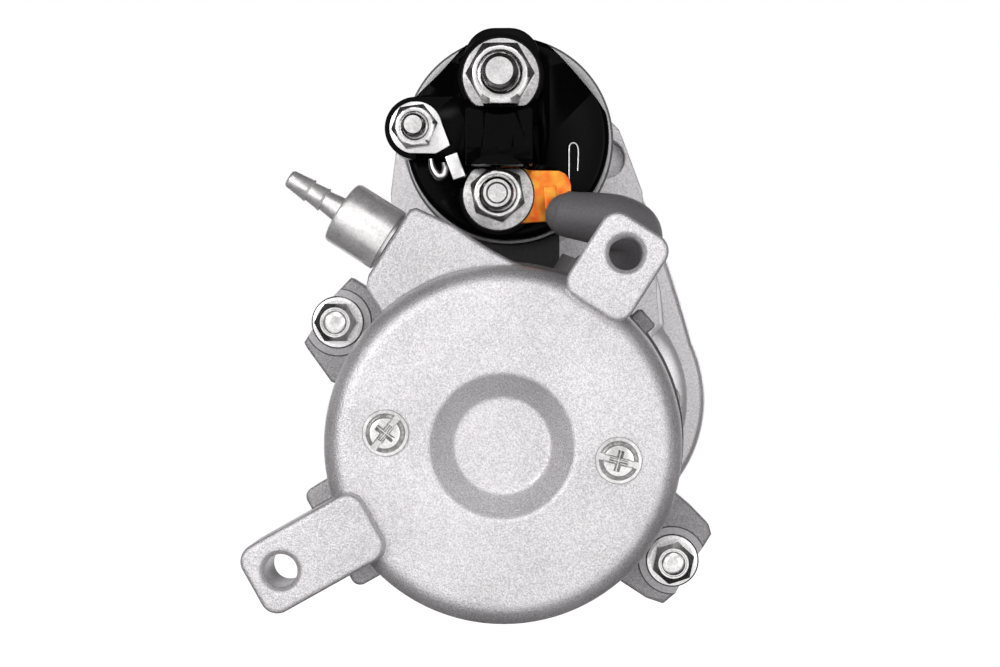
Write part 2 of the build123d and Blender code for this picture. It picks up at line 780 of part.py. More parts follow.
with BuildPart() as shift_lever:
    # Fork: bridge over the clutch and two tines down to the shaft
    with BuildSketch(LEVER_FACE):
        with BuildLine():
            Polyline(
                (-4.5, 0), (-13.0, -8.0), (-TINE_OUT, -10.5), (-TINE_OUT, -LEVER_LOWER - 2.5),
                (-TINE_IN, -LEVER_LOWER - 2.5), (-TINE_IN, -17.0), (-8.0, -14.5),
                (8.0, -14.5), (TINE_IN, -17.0), (TINE_IN, -LEVER_LOWER - 2.5),
                (TINE_OUT, -LEVER_LOWER - 2.5), (TINE_OUT, -10.5), (13.0, -8.0), (4.5, 0),
                (-4.5, 0),
            )
        make_face()
    extrude(amount=2.4, both=True)
    # Pivot boss and the narrow upper arm with its round end
    with BuildSketch(LEVER_SIDE):
        Circle(PIVOT_R + 3.0)
        with BuildLine():
            Polyline(
                (-4.5, 0), (4.5, 0), (1.9, LEVER_UPPER - 6.0), (1.9, LEVER_UPPER),
                (-1.9, LEVER_UPPER), (-1.9, LEVER_UPPER - 6.0), (-4.5, 0),
            )
        make_face()
        with Locations((0, LEVER_UPPER)):
            Circle(HOOK_R)
    extrude(amount=3.0, both=True)
    with BuildSketch(LEVER_SIDE):
        Circle(PIVOT_R + 3.0)
    extrude(amount=12.0, both=True)
    # Pads that reach into the fork ring's groove
    with BuildSketch(LEVER_SIDE):
        with Locations((0, -LEVER_LOWER)):
            Circle(PAD_R)
    extrude(amount=TINE_IN + 0.5, both=True)
    with BuildSketch(LEVER_SIDE):
        with Locations((0, -LEVER_LOWER)):
            Circle(PAD_R + 1.0)
    extrude(amount=FORK_GROOVE_R + 0.4, both=True, mode=Mode.SUBTRACT)
    with BuildSketch(LEVER_SIDE):
        Circle(PIVOT_R + RUNNING)
    extrude(amount=14.0, both=True, mode=Mode.SUBTRACT)

shift_lever.part.label = "shift_lever"
export_step(shift_lever.part, "parts/shift_lever.step")

with BuildPart() as lever_pivot_pin:
    with BuildSketch(Plane.YZ):
        with Locations((PIVOT_Y, PIVOT_Z)):
            Circle(PIVOT_R)
    extrude(amount=15.6, both=True)

lever_pivot_pin.part.label = "lever_pivot_pin"
export_step(lever_pivot_pin.part, "parts/lever_pivot_pin.step")

# ---------------------------------------------------------------- solenoid

CASE_WALL = 1.8
CAP_R = 22.6
CAP_RIM = 1.6                # height of the rolled rim around the terminal cap
SOL_SCREW_X = 20.2
SOL_SCREW_Z = 63.5
BOBBIN_BORE_R = PLUNGER_R + 0.9

with BuildPart() as solenoid_case:
    with BuildSketch(across(SOL_FRONT)):
        with Locations((0, SOL_Z)):
            Circle(SOL_R)
    extrude(amount=SOL_FRONT - SOL_REAR)
    # Rolled rim that holds the terminal cap
    with BuildSketch(across(SOL_REAR)):
        with Locations((0, SOL_Z)):
            Circle(SOL_R)
            Circle(CAP_R, mode=Mode.SUBTRACT)
    extrude(amount=CAP_RIM)
    with BuildSketch(across(SOL_REAR + 6.0)):
        with Locations((0, SOL_Z)):
            Circle(SOL_R + 1.0)
            Circle(SOL_R - 0.6, mode=Mode.SUBTRACT)
    extrude(amount=1.6, mode=Mode.SUBTRACT)
    with BuildSketch(across(SOL_FRONT - 3.0)):
        with Locations((0, SOL_Z)):
            Circle(SOL_R - CASE_WALL)
    extrude(amount=SOL_FRONT - SOL_REAR, mode=Mode.SUBTRACT)
    with BuildSketch(across(SOL_FRONT)):
        with Locations((0, SOL_Z)):
            Circle(PLUNGER_R + 0.3)
        with Locations((SOL_SCREW_X, SOL_SCREW_Z), (-SOL_SCREW_X, SOL_SCREW_Z)):
            Circle(2.5)
    extrude(amount=3.0, mode=Mode.SUBTRACT)

solenoid_case.part.label = "solenoid_case"
export_step(solenoid_case.part, "parts/solenoid_case.step")

with BuildPart() as coil_bobbin:
    with BuildSketch(Plane.XY.offset(SOL_Z)):
        with BuildLine():
            Polyline(
                (BOBBIN_BORE_R - 0.6, -38.0), (SOL_R - 2.4, -38.0), (SOL_R - 2.4, -40.0),
                (12.0, -40.0), (12.0, -84.0), (SOL_R - 2.4, -84.0), (SOL_R - 2.4, -86.0),
                (BOBBIN_BORE_R - 0.6, -86.0), (BOBBIN_BORE_R - 0.6, -38.0),
            )
        make_face()
    revolve(axis=SOL_AXIS)

coil_bobbin.part.label = "coil_bobbin"
export_step(coil_bobbin.part, "parts/coil_bobbin.step")

with BuildPart() as coil_winding:
    with BuildSketch(across(-40.0)):
        with Locations((0, SOL_Z)):
            Circle(SOL_R - 3.2)
            Circle(12.0, mode=Mode.SUBTRACT)
    extrude(amount=44.0)

coil_winding.part.label = "coil_winding"
export_step(coil_winding.part, "parts/coil_winding.step")

ROD_R = 2.5
SPRING_R = 6.2
WIRE = 1.0

with BuildPart() as fixed_core:
    with BuildSketch(Plane.XY.offset(SOL_Z)):
        with BuildLine():
            Polyline(
                (ROD_R + RUNNING, SOL_REAR), (SOL_R - CASE_WALL, SOL_REAR),
                (SOL_R - CASE_WALL, SOL_REAR + 6.0), (BOBBIN_BORE_R - 0.6, SOL_REAR + 6.0),
                (BOBBIN_BORE_R - 0.6, CORE_FACE), (ROD_R + RUNNING, CORE_FACE),
                (ROD_R + RUNNING, SOL_REAR),
            )
        make_face()
    revolve(axis=SOL_AXIS)

fixed_core.part.label = "fixed_core"
export_step(fixed_core.part, "parts/fixed_core.step")

STEM_R = 5.5
STEM_FRONT = -5.0
HOOK_Y = PIVOT_Y + LEVER_UPPER * TILT_SIN
SLOT_HALF = HOOK_R + 0.2

with BuildPart() as plunger:
    with BuildSketch(across(-28.0)):
        with Locations((0, SOL_Z)):
            Circle(PLUNGER_R)
    extrude(amount=-28.0 - PLUNGER_REAR)
    with BuildSketch(across(STEM_FRONT)):
        with Locations((0, SOL_Z)):
            Circle(STEM_R)
    extrude(amount=STEM_FRONT + 28.0)
    with BuildSketch(across(-45.0)):
        with Locations((0, SOL_Z)):
            Circle(SPRING_R + 0.5)
    extrude(amount=20.0, mode=Mode.SUBTRACT)
    with BuildSketch(Plane.YZ):
        with Locations((HOOK_Y, SOL_Z - 3.0)):
            Rectangle(2 * SLOT_HALF, 13.0)
    extrude(amount=3.2, both=True, mode=Mode.SUBTRACT)

plunger.part.label = "plunger"
export_step(plunger.part, "parts/plunger.step")


def coil_spring(radius, front, rear, turns, wire):
    """Square-section helical spring about the solenoid's axis."""
    length = front - rear - wire
    helix = Edge.make_helix(
        pitch=length / turns,
        height=length,
        radius=radius,
        center=(0, rear + wire / 2, SOL_Z),
        normal=(0, 1, 0),
    )
    start = Plane(origin=helix @ 0, z_dir=helix % 0)
    section = Wire.make_rect(wire, wire, start)
    return Solid.sweep(section, helix, is_frenet=True)


with BuildPart() as return_spring:
    add(coil_spring(SPRING_R - 0.8, -45.1, CORE_FACE + 0.1, 6, WIRE))

return_spring.part.label = "return_spring"
export_step(return_spring.part, "parts/return_spring.step")

DISC_FRONT = -95.0
DISC_REAR = -97.4

with BuildPart() as contact_rod:
    with BuildSketch(across(-52.6)):
        with Locations((0, SOL_Z)):
            Circle(ROD_R)
    extrude(amount=-52.6 - DISC_REAR + 1.2)
    with BuildSketch(across(DISC_FRONT + 1.2)):
        with Locations((0, SOL_Z)):
            Circle(4.5)
    extrude(amount=1.2)

contact_rod.part.label = "contact_rod"
export_step(contact_rod.part, "parts/contact_rod.step")

with BuildPart() as contact_disc:
    with BuildSketch(across(DISC_FRONT)):
        with Locations((0, SOL_Z)):
            Circle(11.0)
            Circle(ROD_R, mode=Mode.SUBTRACT)
    extrude(amount=DISC_FRONT - DISC_REAR)

contact_disc.part.label = "contact_disc"
export_step(contact_disc.part, "parts/contact_disc.step")

with BuildPart() as contact_spring:
    add(coil_spring(3.6, DISC_REAR - 0.05, CAP_FLOOR + 0.05, 3, 0.6))

contact_spring.part.label = "contact_spring"
export_step(contact_spring.part, "parts/contact_spring.step")

# ---------------------------------------------------------------- terminal cap and its hardware

CAP_TOP = -103.5
BLOCK_TOP = -115.0
TOWER_30_R = 9.4
PAD_C_R = 8.8
LOBE_50_R = 6.9
LOBE_FRONT = SOL_REAR - CAP_RIM - 0.1
STUD_R = 4.2                 # shank; the free end beyond the nut is STUD_TIP_R
STUD_TIP_R = 4.0
STUD_TIP_START = -116.4       # free face of the battery nut
STUD_C_R = 3.5
STUD_50_R = 2.5
WASHER_30_R = 8.6
WASHER_C_R = 8.0

with BuildPart() as terminal_cap:
    with BuildSketch(across(SOL_REAR)):
        with Locations((0, SOL_Z)):
            Circle(CAP_R)
    extrude(amount=SOL_REAR - CAP_TOP)
    back_edge = terminal_cap.edges().filter_by(GeomType.CIRCLE).sort_by(Axis.Y)[0]
    fillet(back_edge, radius=1.5)
    # Tower under the battery stud
    with BuildSketch(across(SOL_REAR - 3.0)):
        with Locations(STUD_30):
            Circle(TOWER_30_R)
        with Locations((STUD_30[0], STUD_30[1] - 5.0)):
            Rectangle(16.0, 10.0)
    extrude(amount=SOL_REAR - 3.0 - SEAT_30)
    # Pad under the motor stud
    with BuildSketch(across(CAP_TOP)):
        with Locations(STUD_C):
            Circle(PAD_C_R)
    extrude(amount=CAP_TOP - SEAT_C)
    # Lobe that carries the switch terminal, out over the case's edge
    with BuildSketch(across(LOBE_FRONT)):
        with Locations(STUD_50):
            Circle(LOBE_50_R)
        with Locations((-14.0, STUD_50[1])):
            Rectangle(12.0, 2 * LOBE_50_R)
    extrude(amount=LOBE_FRONT - SEAT_50)
    # Barrier between the two main studs
    with BuildSketch(across(CAP_TOP)):
        with Locations((-1.5, 65.8)):
            RectangleRounded(14.5, 13.2, 1.2)
        with Locations(STUD_30):
            Circle(WASHER_30_R + 0.3, mode=Mode.SUBTRACT)
        with Locations(STUD_C):
            Circle(WASHER_C_R + 0.3, mode=Mode.SUBTRACT)
    extrude(amount=CAP_TOP - BLOCK_TOP)
    # Ribs beside the barrier and along the tower
    with BuildSketch(across(CAP_TOP)):
        with Locations((-11.0, 74.0), (8.6, 74.0)):
            Rectangle(1.6, 16.0)
        with Locations((8.0, 65.0), (-10.6, 60.0)):
            Rectangle(1.4, 10.0)
    extrude(amount=3.5)
    # Space for the moving contact, and the stud holes
    with BuildSketch(across(SOL_REAR)):
        with Locations((0, SOL_Z)):
            Circle(19.4)
    extrude(amount=SOL_REAR - CAP_FLOOR, mode=Mode.SUBTRACT)
    with BuildSketch(across(SOL_REAR)):
        with Locations(STUD_30):
            Circle(STUD_R)
        with Locations(STUD_C):
            Circle(STUD_C_R)
        with Locations(STUD_50):
            Circle(STUD_50_R)
    extrude(amount=25.0, mode=Mode.SUBTRACT)

terminal_cap.part.label = "terminal_cap"
export_step(terminal_cap.part, "parts/terminal_cap.step")

END_30 = -120.0
END_C = -114.0
END_50 = -116.0
CONTACT_FACE = CAP_FLOOR + 2.0

with BuildPart() as main_terminal_studs:
    for place, radius, end in ((STUD_30, STUD_R, STUD_TIP_START), (STUD_C, STUD_C_R, END_C)):
        with BuildSketch(across(CONTACT_FACE)):
            with Locations(place):
                Circle(5.8)
        extrude(amount=2.0)
        with BuildSketch(across(CAP_FLOOR)):
            with Locations(place):
                Circle(radius)
        extrude(amount=CAP_FLOOR - end)
    motor_tip = main_terminal_studs.edges().filter_by(GeomType.CIRCLE)
    motor_tip = motor_tip.filter_by_position(Axis.Y, END_C - 0.01, END_C + 0.01)
    chamfer(motor_tip, length=0.7)
    with BuildSketch(across(STUD_TIP_START)):
        with Locations(STUD_30):
            Circle(STUD_TIP_R)
    extrude(amount=STUD_TIP_START - END_30)
    tip_face = main_terminal_studs.faces().filter_by(Axis.Y).sort_by(Axis.Y)[0]
    chamfer(tip_face.edges(), length=0.7)

main_terminal_studs.part.label = "main_terminal_studs"
export_step(main_terminal_studs.part, "parts/main_terminal_studs.step")

with BuildPart() as terminal_50_stud:
    with BuildSketch(across(SOL_REAR - 0.6)):
        with Locations(STUD_50):
            Circle(STUD_50_R)
    extrude(amount=SOL_REAR - 0.6 - END_50)
    chamfer(terminal_50_stud.faces().sort_by(Axis.Y)[0].edges(), length=0.5)

terminal_50_stud.part.label = "terminal_50_stud"
export_step(terminal_50_stud.part, "parts/terminal_50_stud.step")

LUG_THICK = 1.2
WASHER_THICK = 1.1

with BuildPart() as main_terminal_washers:
    for place, seat, outer, bore in (
        (STUD_30, SEAT_30, WASHER_30_R, STUD_R),
        (STUD_C, SEAT_C - LUG_THICK, WASHER_C_R, STUD_C_R),
    ):
        with BuildSketch(across(seat)):
            with Locations(place):
                Circle(outer)
                Circle(bore, mode=Mode.SUBTRACT)
        extrude(amount=WASHER_THICK)

main_terminal_washers.part.label = "main_terminal_washers"
export_step(main_terminal_washers.part, "parts/main_terminal_washers.step")

NUT_30_SEAT = SEAT_30 - WASHER_THICK
NUT_C_SEAT = SEAT_C - LUG_THICK - WASHER_THICK
NUT_50_SEAT = SEAT_50 - 1.0

for name, place, seat, flats, turn, bore, height in (
    ("terminal_30_nut", STUD_30, NUT_30_SEAT, 13.0, 0.0, STUD_R, 6.3),
    ("motor_terminal_nut", STUD_C, NUT_C_SEAT, 11.0, 15.0, STUD_C_R, 5.0),
    ("terminal_50_nut", STUD_50, NUT_50_SEAT, 9.0, 0.0, STUD_50_R, 4.5),
):
    with BuildPart() as terminal_nut:
        with BuildSketch(across(seat)):
            with Locations(place):
                hexagon(flats, turn)
        extrude(amount=height)
        # Chamfered corners: the hexagon meets a shallow cone at its outer end
        with BuildSketch(across(seat)):
            with Locations(place):
                Circle(flats / 2 + height * 0.9 + 0.1)
        extrude(amount=height, taper=42, mode=Mode.INTERSECT)
        with BuildSketch(across(seat)):
            with Locations(place):
                Circle(bore)
        extrude(amount=height, mode=Mode.SUBTRACT)
    terminal_nut.part.label = name
    export_step(terminal_nut.part, f"parts/{name}.step")

# Ring terminal on the switch stud, with its crimp bent down beside the cap
with BuildPart() as terminal_50_lug:
    with BuildSketch(across(SEAT_50)):
        with Locations(STUD_50):
            Circle(5.8)
        with BuildLine():
            Polyline(
                (-24.0, 63.7), (-16.0, 63.7), (-12.9, 60.0), (-17.1, 57.6), (-24.0, 63.7),
            )
        make_face()
        with Locations(STUD_50):
            Circle(STUD_50_R, mode=Mode.SUBTRACT)
    extrude(amount=1.0)
    with BuildSketch(across(SEAT_50 - 1.0)):
        with Locations((-16.9, 59.6), (-13.4, 61.6)):
            Rectangle(1.0, 4.4, rotation=-60)
    extrude(amount=3.0)

terminal_50_lug.part.label = "terminal_50_lug"
export_step(terminal_50_lug.part, "parts/terminal_50_lug.step")

# ---------------------------------------------------------------- motor lead

TAB_TOP = 58.7
BOOT_START = (10.2, 50.3)
BOOT_END = (25.0, 47.2)
BOOT_R = 4.9
BOOT_END_R = 6.0
LEAD_R = 2.6
GROMMET_X = cos(radians(GROMMET_ANGLE))
GROMMET_Z = sin(radians(GROMMET_ANGLE))
GROMMET_TOP_R = 42.0

with BuildPart() as motor_lead_tab:
    with BuildSketch(across(SEAT_C)):
        with Locations(STUD_C):
            Circle(7.2)
        with BuildLine():
            Polyline(
                (-1.9, 46.5), (13.5, 47.6), (14.0, 55.5), (11.5, TAB_TOP), (5.0, TAB_TOP),
                (-1.9, 59.0), (-1.9, 46.5),
            )
        make_face()
        with Locations(STUD_C):
            Circle(STUD_C_R, mode=Mode.SUBTRACT)
    extrude(amount=LUG_THICK)

motor_lead_tab.part.label = "motor_lead_tab"
export_step(motor_lead_tab.part, "parts/motor_lead_tab.step")

BOOT_LENGTH = hypot(BOOT_END[0] - BOOT_START[0], BOOT_END[1] - BOOT_START[1])
BOOT_DIR = (
    (BOOT_END[0] - BOOT_START[0]) / BOOT_LENGTH,
    0,
    (BOOT_END[1] - BOOT_START[1]) / BOOT_LENGTH,
)
BOOT_CENTRE_Y = SEAT_C - LUG_THICK - BOOT_END_R - 0.1

with BuildPart() as motor_lead_boot:
    with BuildSketch(
        Plane(
            origin=(BOOT_START[0], BOOT_CENTRE_Y, BOOT_START[1]),
            x_dir=(0, 1, 0),
            z_dir=(BOOT_DIR[2], 0, -BOOT_DIR[0]),
        )
    ):
        with BuildLine():
            Polyline(
                (0, 0), (BOOT_R - 0.6, 0), (BOOT_R, 0.6), (BOOT_END_R, BOOT_LENGTH - 3.0),
                (BOOT_END_R - 0.9, BOOT_LENGTH - 0.9), (BOOT_END_R - 3.0, BOOT_LENGTH),
                (0, BOOT_LENGTH), (0, 0),
            )
        make_face()
    revolve(axis=Axis((BOOT_START[0], BOOT_CENTRE_Y, BOOT_START[1]), BOOT_DIR))

motor_lead_boot.part.label = "motor_lead_boot"
export_step(motor_lead_boot.part, "parts/motor_lead_boot.step")

# Lead from the boot down into the grommet: straight runs joined by tangent arcs
LEAD_OUT = 8.0
LEAD_ROUTE = (
    (BOOT_END[0], BOOT_CENTRE_Y, BOOT_END[1]),
    (BOOT_END[0] + LEAD_OUT * BOOT_DIR[0], BOOT_CENTRE_Y, BOOT_END[1] + LEAD_OUT * BOOT_DIR[2]),
    (29.0, GROMMET_Y - 0.5, 45.0),
    ((GROMMET_TOP_R + 7.0) * GROMMET_X, GROMMET_Y, (GROMMET_TOP_R + 7.0) * GROMMET_Z),
    (GROMMET_TOP_R * GROMMET_X, GROMMET_Y, GROMMET_TOP_R * GROMMET_Z),
)
LEAD_BENDS = [2.9, 2.9, 3.5]
print("lead radius", LEAD_R, "bend radii", LEAD_BENDS)

with BuildPart() as motor_lead_cable:
    with BuildLine() as lead_path:
        FilletPolyline(*LEAD_ROUTE, radius=LEAD_BENDS)
    with BuildSketch(Plane(origin=lead_path.line @ 0, z_dir=lead_path.line % 0)):
        Circle(LEAD_R)
    sweep(path=lead_path.line)

motor_lead_cable.part.label = "motor_lead_cable"
export_step(motor_lead_cable.part, "parts/motor_lead_cable.step")

GROMMET_PLANE = Plane(
    origin=(GROMMET_TOP_R * GROMMET_X, GROMMET_Y, GROMMET_TOP_R * GROMMET_Z),
    x_dir=(0, 1, 0),
    z_dir=(GROMMET_X, 0, GROMMET_Z),
)

with BuildPart() as lead_grommet:
    with BuildSketch(GROMMET_PLANE):
        Circle(4.0)
    extrude(amount=-8.0, taper=-9)
    # The dome stops on the yoke; only its neck goes through the wall
    with BuildSketch(across(GROMMET_Y + 20.0)):
        Circle(YOKE_R)
    extrude(amount=40.0, mode=Mode.SUBTRACT)
    with BuildSketch(GROMMET_PLANE):
        Circle(3.5)
    extrude(amount=-8.0)

lead_grommet.part.label = "lead_grommet"
export_step(lead_grommet.part, "parts/lead_grommet.step")

# Hairpin clip that keeps the boot on the cap
with BuildPart() as lead_clip:
    with BuildSketch(across(CAP_TOP)):
        with Locations((14.6, 60.0)):
            SlotOverall(10.0, 2.4, rotation=90)
            SlotOverall(8.4, 0.8, rotation=90, mode=Mode.SUBTRACT)
    extrude(amount=0.8)

lead_clip.part.label = "lead_clip"
export_step(lead_clip.part, "parts/lead_clip.step")

# Rubber pad between the solenoid and the motor
with BuildPart() as solenoid_saddle_pad:
    with BuildSketch(across(-72.0)):
        with Locations((-1.2, 40.0)):
            Rectangle(25.4, 12.0)
        Circle(YOKE_R, mode=Mode.SUBTRACT)
        with Locations((0, SOL_Z)):
            Circle(SOL_R, mode=Mode.SUBTRACT)
    extrude(amount=25.0)

solenoid_saddle_pad.part.label = "solenoid_saddle_pad"
export_step(solenoid_saddle_pad.part, "parts/solenoid_saddle_pad.step")

# ---------------------------------------------------------------- vent fitting

VENT_DIR = (cos(radians(VENT_ANGLE)), 0, sin(radians(VENT_ANGLE)))
VENT_Y = ARM_REAR + ARM_THICK / 2
VENT_PROFILE = Plane(
    origin=(VENT_X, VENT_Y, VENT_Z), x_dir=(0, 1, 0), z_dir=(VENT_DIR[2], 0, -VENT_DIR[0])
)
VENT_AXIS = Axis((VENT_X, VENT_Y, VENT_Z), VENT_DIR)
VENT_SEAT = 0.2
VENT_BODY = 11.4
VENT_BODY_R = 6.85
NIPPLE_R = 2.65
NIPPLE_LENGTH = 13.5

with BuildPart() as vent_fitting:
    with BuildSketch(VENT_PROFILE):
        with BuildLine():
            Polyline(
                (1.3, -6.0), (4.0, -6.0), (4.0, VENT_SEAT), (7.9, VENT_SEAT),
                (7.9, VENT_SEAT + 2.2), (VENT_BODY_R, VENT_SEAT + 2.2),
                (VENT_BODY_R, VENT_BODY - 0.5), (VENT_BODY_R - 0.5, VENT_BODY),
                (NIPPLE_R, VENT_BODY), (NIPPLE_R, 6.0), (1.3, 6.0), (1.3, -6.0),
            )
        make_face()
    revolve(axis=VENT_AXIS)

vent_fitting.part.label = "vent_fitting"
export_step(vent_fitting.part, "parts/vent_fitting.step")

with BuildPart() as vent_nipple:
    with BuildSketch(VENT_PROFILE):
        with BuildLine():
            Polyline(
                (1.1, 6.0), (NIPPLE_R, 6.0), (NIPPLE_R, VENT_BODY + 2.5),
                (1.7, VENT_BODY + 3.2), (1.7, VENT_BODY + 5.2), (2.4, VENT_BODY + 5.2),
                (1.7, VENT_BODY + 9.0), (2.4, VENT_BODY + 9.0),
                (1.7, VENT_BODY + NIPPLE_LENGTH), (1.1, VENT_BODY + NIPPLE_LENGTH),
                (1.1, 6.0),
            )
        make_face()
    revolve(axis=VENT_AXIS)

vent_nipple.part.label = "vent_nipple"
export_step(vent_nipple.part, "parts/vent_nipple.step")

# ---------------------------------------------------------------- drive housing

CHAMBER_X = 12.6
CHAMBER_TOP = 74.0
CHAMBER_OUT = CHAMBER_X + CHAMBER_WALL
WIDE_X = 23.4
WIDE_TOP = 31.0
CLUTCH_SPACE_R = 24.0
NOSE_SPACE_R = 20.5
PINION_SPACE_R = 17.6
WINDOW_REAR = 23.5
WINDOW_FRONT = 39.5

with BuildPart() as drive_housing:
    # Gear case
    with BuildSketch(across(Y_CAVITY_REAR)):
        Circle(HOUSING_R)
    extrude(amount=Y_CAVITY_REAR - Y_YOKE_FRONT)
    with BuildSketch(across(0.0)):
        Circle(HOUSING_R - 2.0)
    extrude(amount=-Y_CAVITY_REAR)
    # Mounting flange with its two bolt bosses
    with BuildSketch(across(0.0)):
        Circle(HOUSING_R + 1.5)
        with Locations((14.0, 4.0)):
            Circle(36.4)
        with PolarLocations(FLANGE_PCD / 2, 2, start_angle=FLANGE_ANGLE):
            Circle(FLANGE_BOSS_R)
        make_hull()
    extrude(amount=FLANGE_THICK)
    # Lever chamber and the plate that the solenoid bolts to
    with BuildSketch(across(0.0)):
        with BuildLine():
            Polyline(
                (-27.0, 20.0), (-26.5, 34.0), (-CHAMBER_OUT, 46.0),
                (-CHAMBER_OUT, CHAMBER_TOP - 2.0), (-11.0, CHAMBER_TOP + CHAMBER_WALL),
                (11.0, CHAMBER_TOP + CHAMBER_WALL), (CHAMBER_OUT, CHAMBER_TOP - 2.0),
                (CHAMBER_OUT, 46.0), (26.5, 34.0), (27.0, 20.0), (-27.0, 20.0),
            )
        make_face()
    extrude(amount=-SOL_FRONT)
    # Shoulder on the right, from the solenoid plate down to the flange
    with BuildSketch(across(0.0)):
        with BuildLine():
            Polyline((20.0, 20.0), (22.0, 52.0), (33.5, 59.0), (36.5, 52.0))
            ThreePointArc((36.5, 52.0), (43.8, 30.5), (50.0, 8.0))
            Polyline((50.0, 8.0), (30.0, 0.0), (20.0, 20.0))
        make_face()
    extrude(amount=FLANGE_THICK)
    flange_rim = drive_housing.faces().filter_by(Axis.Y).filter_by_position(
        Axis.Y, -FLANGE_THICK - 0.01, -FLANGE_THICK + 0.01
    )
    fillet(flange_rim.edges().filter_by_position(Axis.X, 36.0, 52.0), radius=1.8)
    # Web that runs out of the solenoid plate into the flange
    with BuildSketch(across(-FLANGE_THICK)):
        with BuildLine():
            Polyline(
                (10.0, 30.0), (10.0, 50.0), (22.0, 60.0), (29.8, 56.0), (34.3, 48.0),
                (38.3, 33.5), (39.2, 24.0), (30.0, 12.0), (10.0, 30.0),
            )
        make_face()
    extrude(amount=-SOL_FRONT - FLANGE_THICK, taper=5)
    # The gear case flares into the flange
    with BuildSketch(across(-FLANGE_THICK)):
        Circle(HOUSING_R + 1.5)
        with Locations((14.0, 4.0)):
            Circle(36.4)
        make_hull()
        offset(amount=-5.0)
    extrude(amount=14.0, taper=26)
    with BuildSketch(across(Y_CAVITY_REAR)):
        with BuildLine():
            Polyline(
                (-28.0, 20.0), (-31.5, 50.0), (-32.0, 58.1), (-30.5, 70.0), (-24.2, 77.5),
                (-14.0, 84.0), (14.0, 84.0), (24.2, 76.7), (26.6, 74.3), (28.0, 70.8),
                (32.6, 58.4), (32.8, 55.4), (34.2, 50.0), (35.7, 41.0), (36.4, 34.5),
                (34.0, 10.0), (-28.0, 20.0),
            )
        make_face()
    extrude(amount=Y_CAVITY_REAR - SOL_FRONT)
    with BuildSketch(across(SOL_FRONT + 6.0)):
        with Locations((23.2, 66.9), (-23.2, 66.9)):
            Circle(4.9)
    extrude(amount=6.0, mode=Mode.SUBTRACT)
    # Bosses for the through bolts
    with BuildSketch(across(BOLT_END + 6.0)):
        for side in (1, -1):
            with Locations((side * BOLT_X, side * BOLT_Z)):
                Circle(6.0)
            with Locations((side * BOLT_X * 0.88, side * BOLT_Z * 0.88)):
                Circle(7.5)
    extrude(amount=BOLT_END + 6.0 - Y_YOKE_FRONT)
    # Pilot and nose
    with BuildSketch(Plane.XY):
        with BuildLine():
            Polyline(
                (0, -5.0), (PILOT_R, -5.0), (PILOT_R, PILOT_HEIGHT - 1.0),
                (PILOT_R - 1.0, PILOT_HEIGHT), (27.0, PILOT_HEIGHT), (24.5, 12.0),
                (23.5, 26.0), (21.5, 40.0), (13.0, 50.0), (12.0, Y_NOSE_TIP - 1.0),
                (11.0, Y_NOSE_TIP), (0, Y_NOSE_TIP), (0, -5.0),
            )
        make_face()
    revolve(axis=SHAFT_AXIS)

    # Space for gears, clutch, pinion and nose bushing
    with BuildSketch(Plane.XY):
        with BuildLine():
            Polyline(
                (0, Y_YOKE_FRONT), (HOUSING_BORE_R, Y_YOKE_FRONT), (HOUSING_BORE_R, -31.0),
                (30.0, -31.0), (30.0, Y_CAVITY_REAR), (CLUTCH_SPACE_R, Y_CAVITY_REAR + 4.0),
                (CLUTCH_SPACE_R, 3.0), (NOSE_SPACE_R, 7.0), (NOSE_SPACE_R, WINDOW_REAR),
                (PINION_SPACE_R, WINDOW_REAR + 2.0), (PINION_SPACE_R, WINDOW_FRONT),
                (10.0, 42.0), (8.0, 42.0), (8.0, 52.5), (0, 52.5), (0, Y_YOKE_FRONT),
            )
        make_face()
    revolve(axis=SHAFT_AXIS, mode=Mode.SUBTRACT)
    # Space for the lever
    with BuildSketch(across(-CHAMBER_WALL)):
        with Locations((0, CHAMBER_TOP / 2)):
            Rectangle(2 * CHAMBER_X, CHAMBER_TOP)
    extrude(amount=-CHAMBER_WALL - Y_CAVITY_REAR, mode=Mode.SUBTRACT)
    with BuildSketch(across(-CHAMBER_WALL)):
        with Locations((0, WIDE_TOP / 2 - 4.0)):
            Rectangle(2 * WIDE_X, WIDE_TOP + 8.0)
    extrude(amount=-CHAMBER_WALL - Y_CAVITY_REAR, mode=Mode.SUBTRACT)
    with BuildSketch(across(Y_CAVITY_REAR)):
        with Locations((0, SOL_Z)):
            Circle(PLUNGER_R + 0.5)
    extrude(amount=Y_CAVITY_REAR - SOL_FRONT, mode=Mode.SUBTRACT)
    # Pinion window under the nose
    with BuildSketch(Plane.XY.offset(-40.0)):
        with Locations((0, (WINDOW_REAR + WINDOW_FRONT) / 2)):
            RectangleRounded(34.0, WINDOW_FRONT - WINDOW_REAR, 3.0)
    extrude(amount=34.0, mode=Mode.SUBTRACT)
    # Holes: mounting bolts, through bolts, solenoid screws, lever pivot
    with BuildSketch(across(0.0)):
        with PolarLocations(FLANGE_PCD / 2, 2, start_angle=FLANGE_ANGLE):
            Circle(FLANGE_HOLE_R)
    extrude(amount=28.0, mode=Mode.SUBTRACT)
    with BuildSketch(across(BOLT_END)):
        with Locations((BOLT_X, BOLT_Z), (-BOLT_X, -BOLT_Z)):
            Circle(BOLT_R)
    extrude(amount=30.0, mode=Mode.SUBTRACT)
    with BuildSketch(across(Y_CAVITY_REAR)):
        with Locations((SOL_SCREW_X, SOL_SCREW_Z), (-SOL_SCREW_X, SOL_SCREW_Z)):
            Circle(2.7)
    extrude(amount=Y_CAVITY_REAR - SOL_FRONT, mode=Mode.SUBTRACT)
    with BuildSketch(Plane.YZ):
        with Locations((PIVOT_Y, PIVOT_Z)):
            Circle(PIVOT_R)
    extrude(amount=CHAMBER_OUT - 0.5, both=True, mode=Mode.SUBTRACT)

drive_housing.part.label = "drive_housing"
export_step(drive_housing.part, "parts/drive_housing.step")

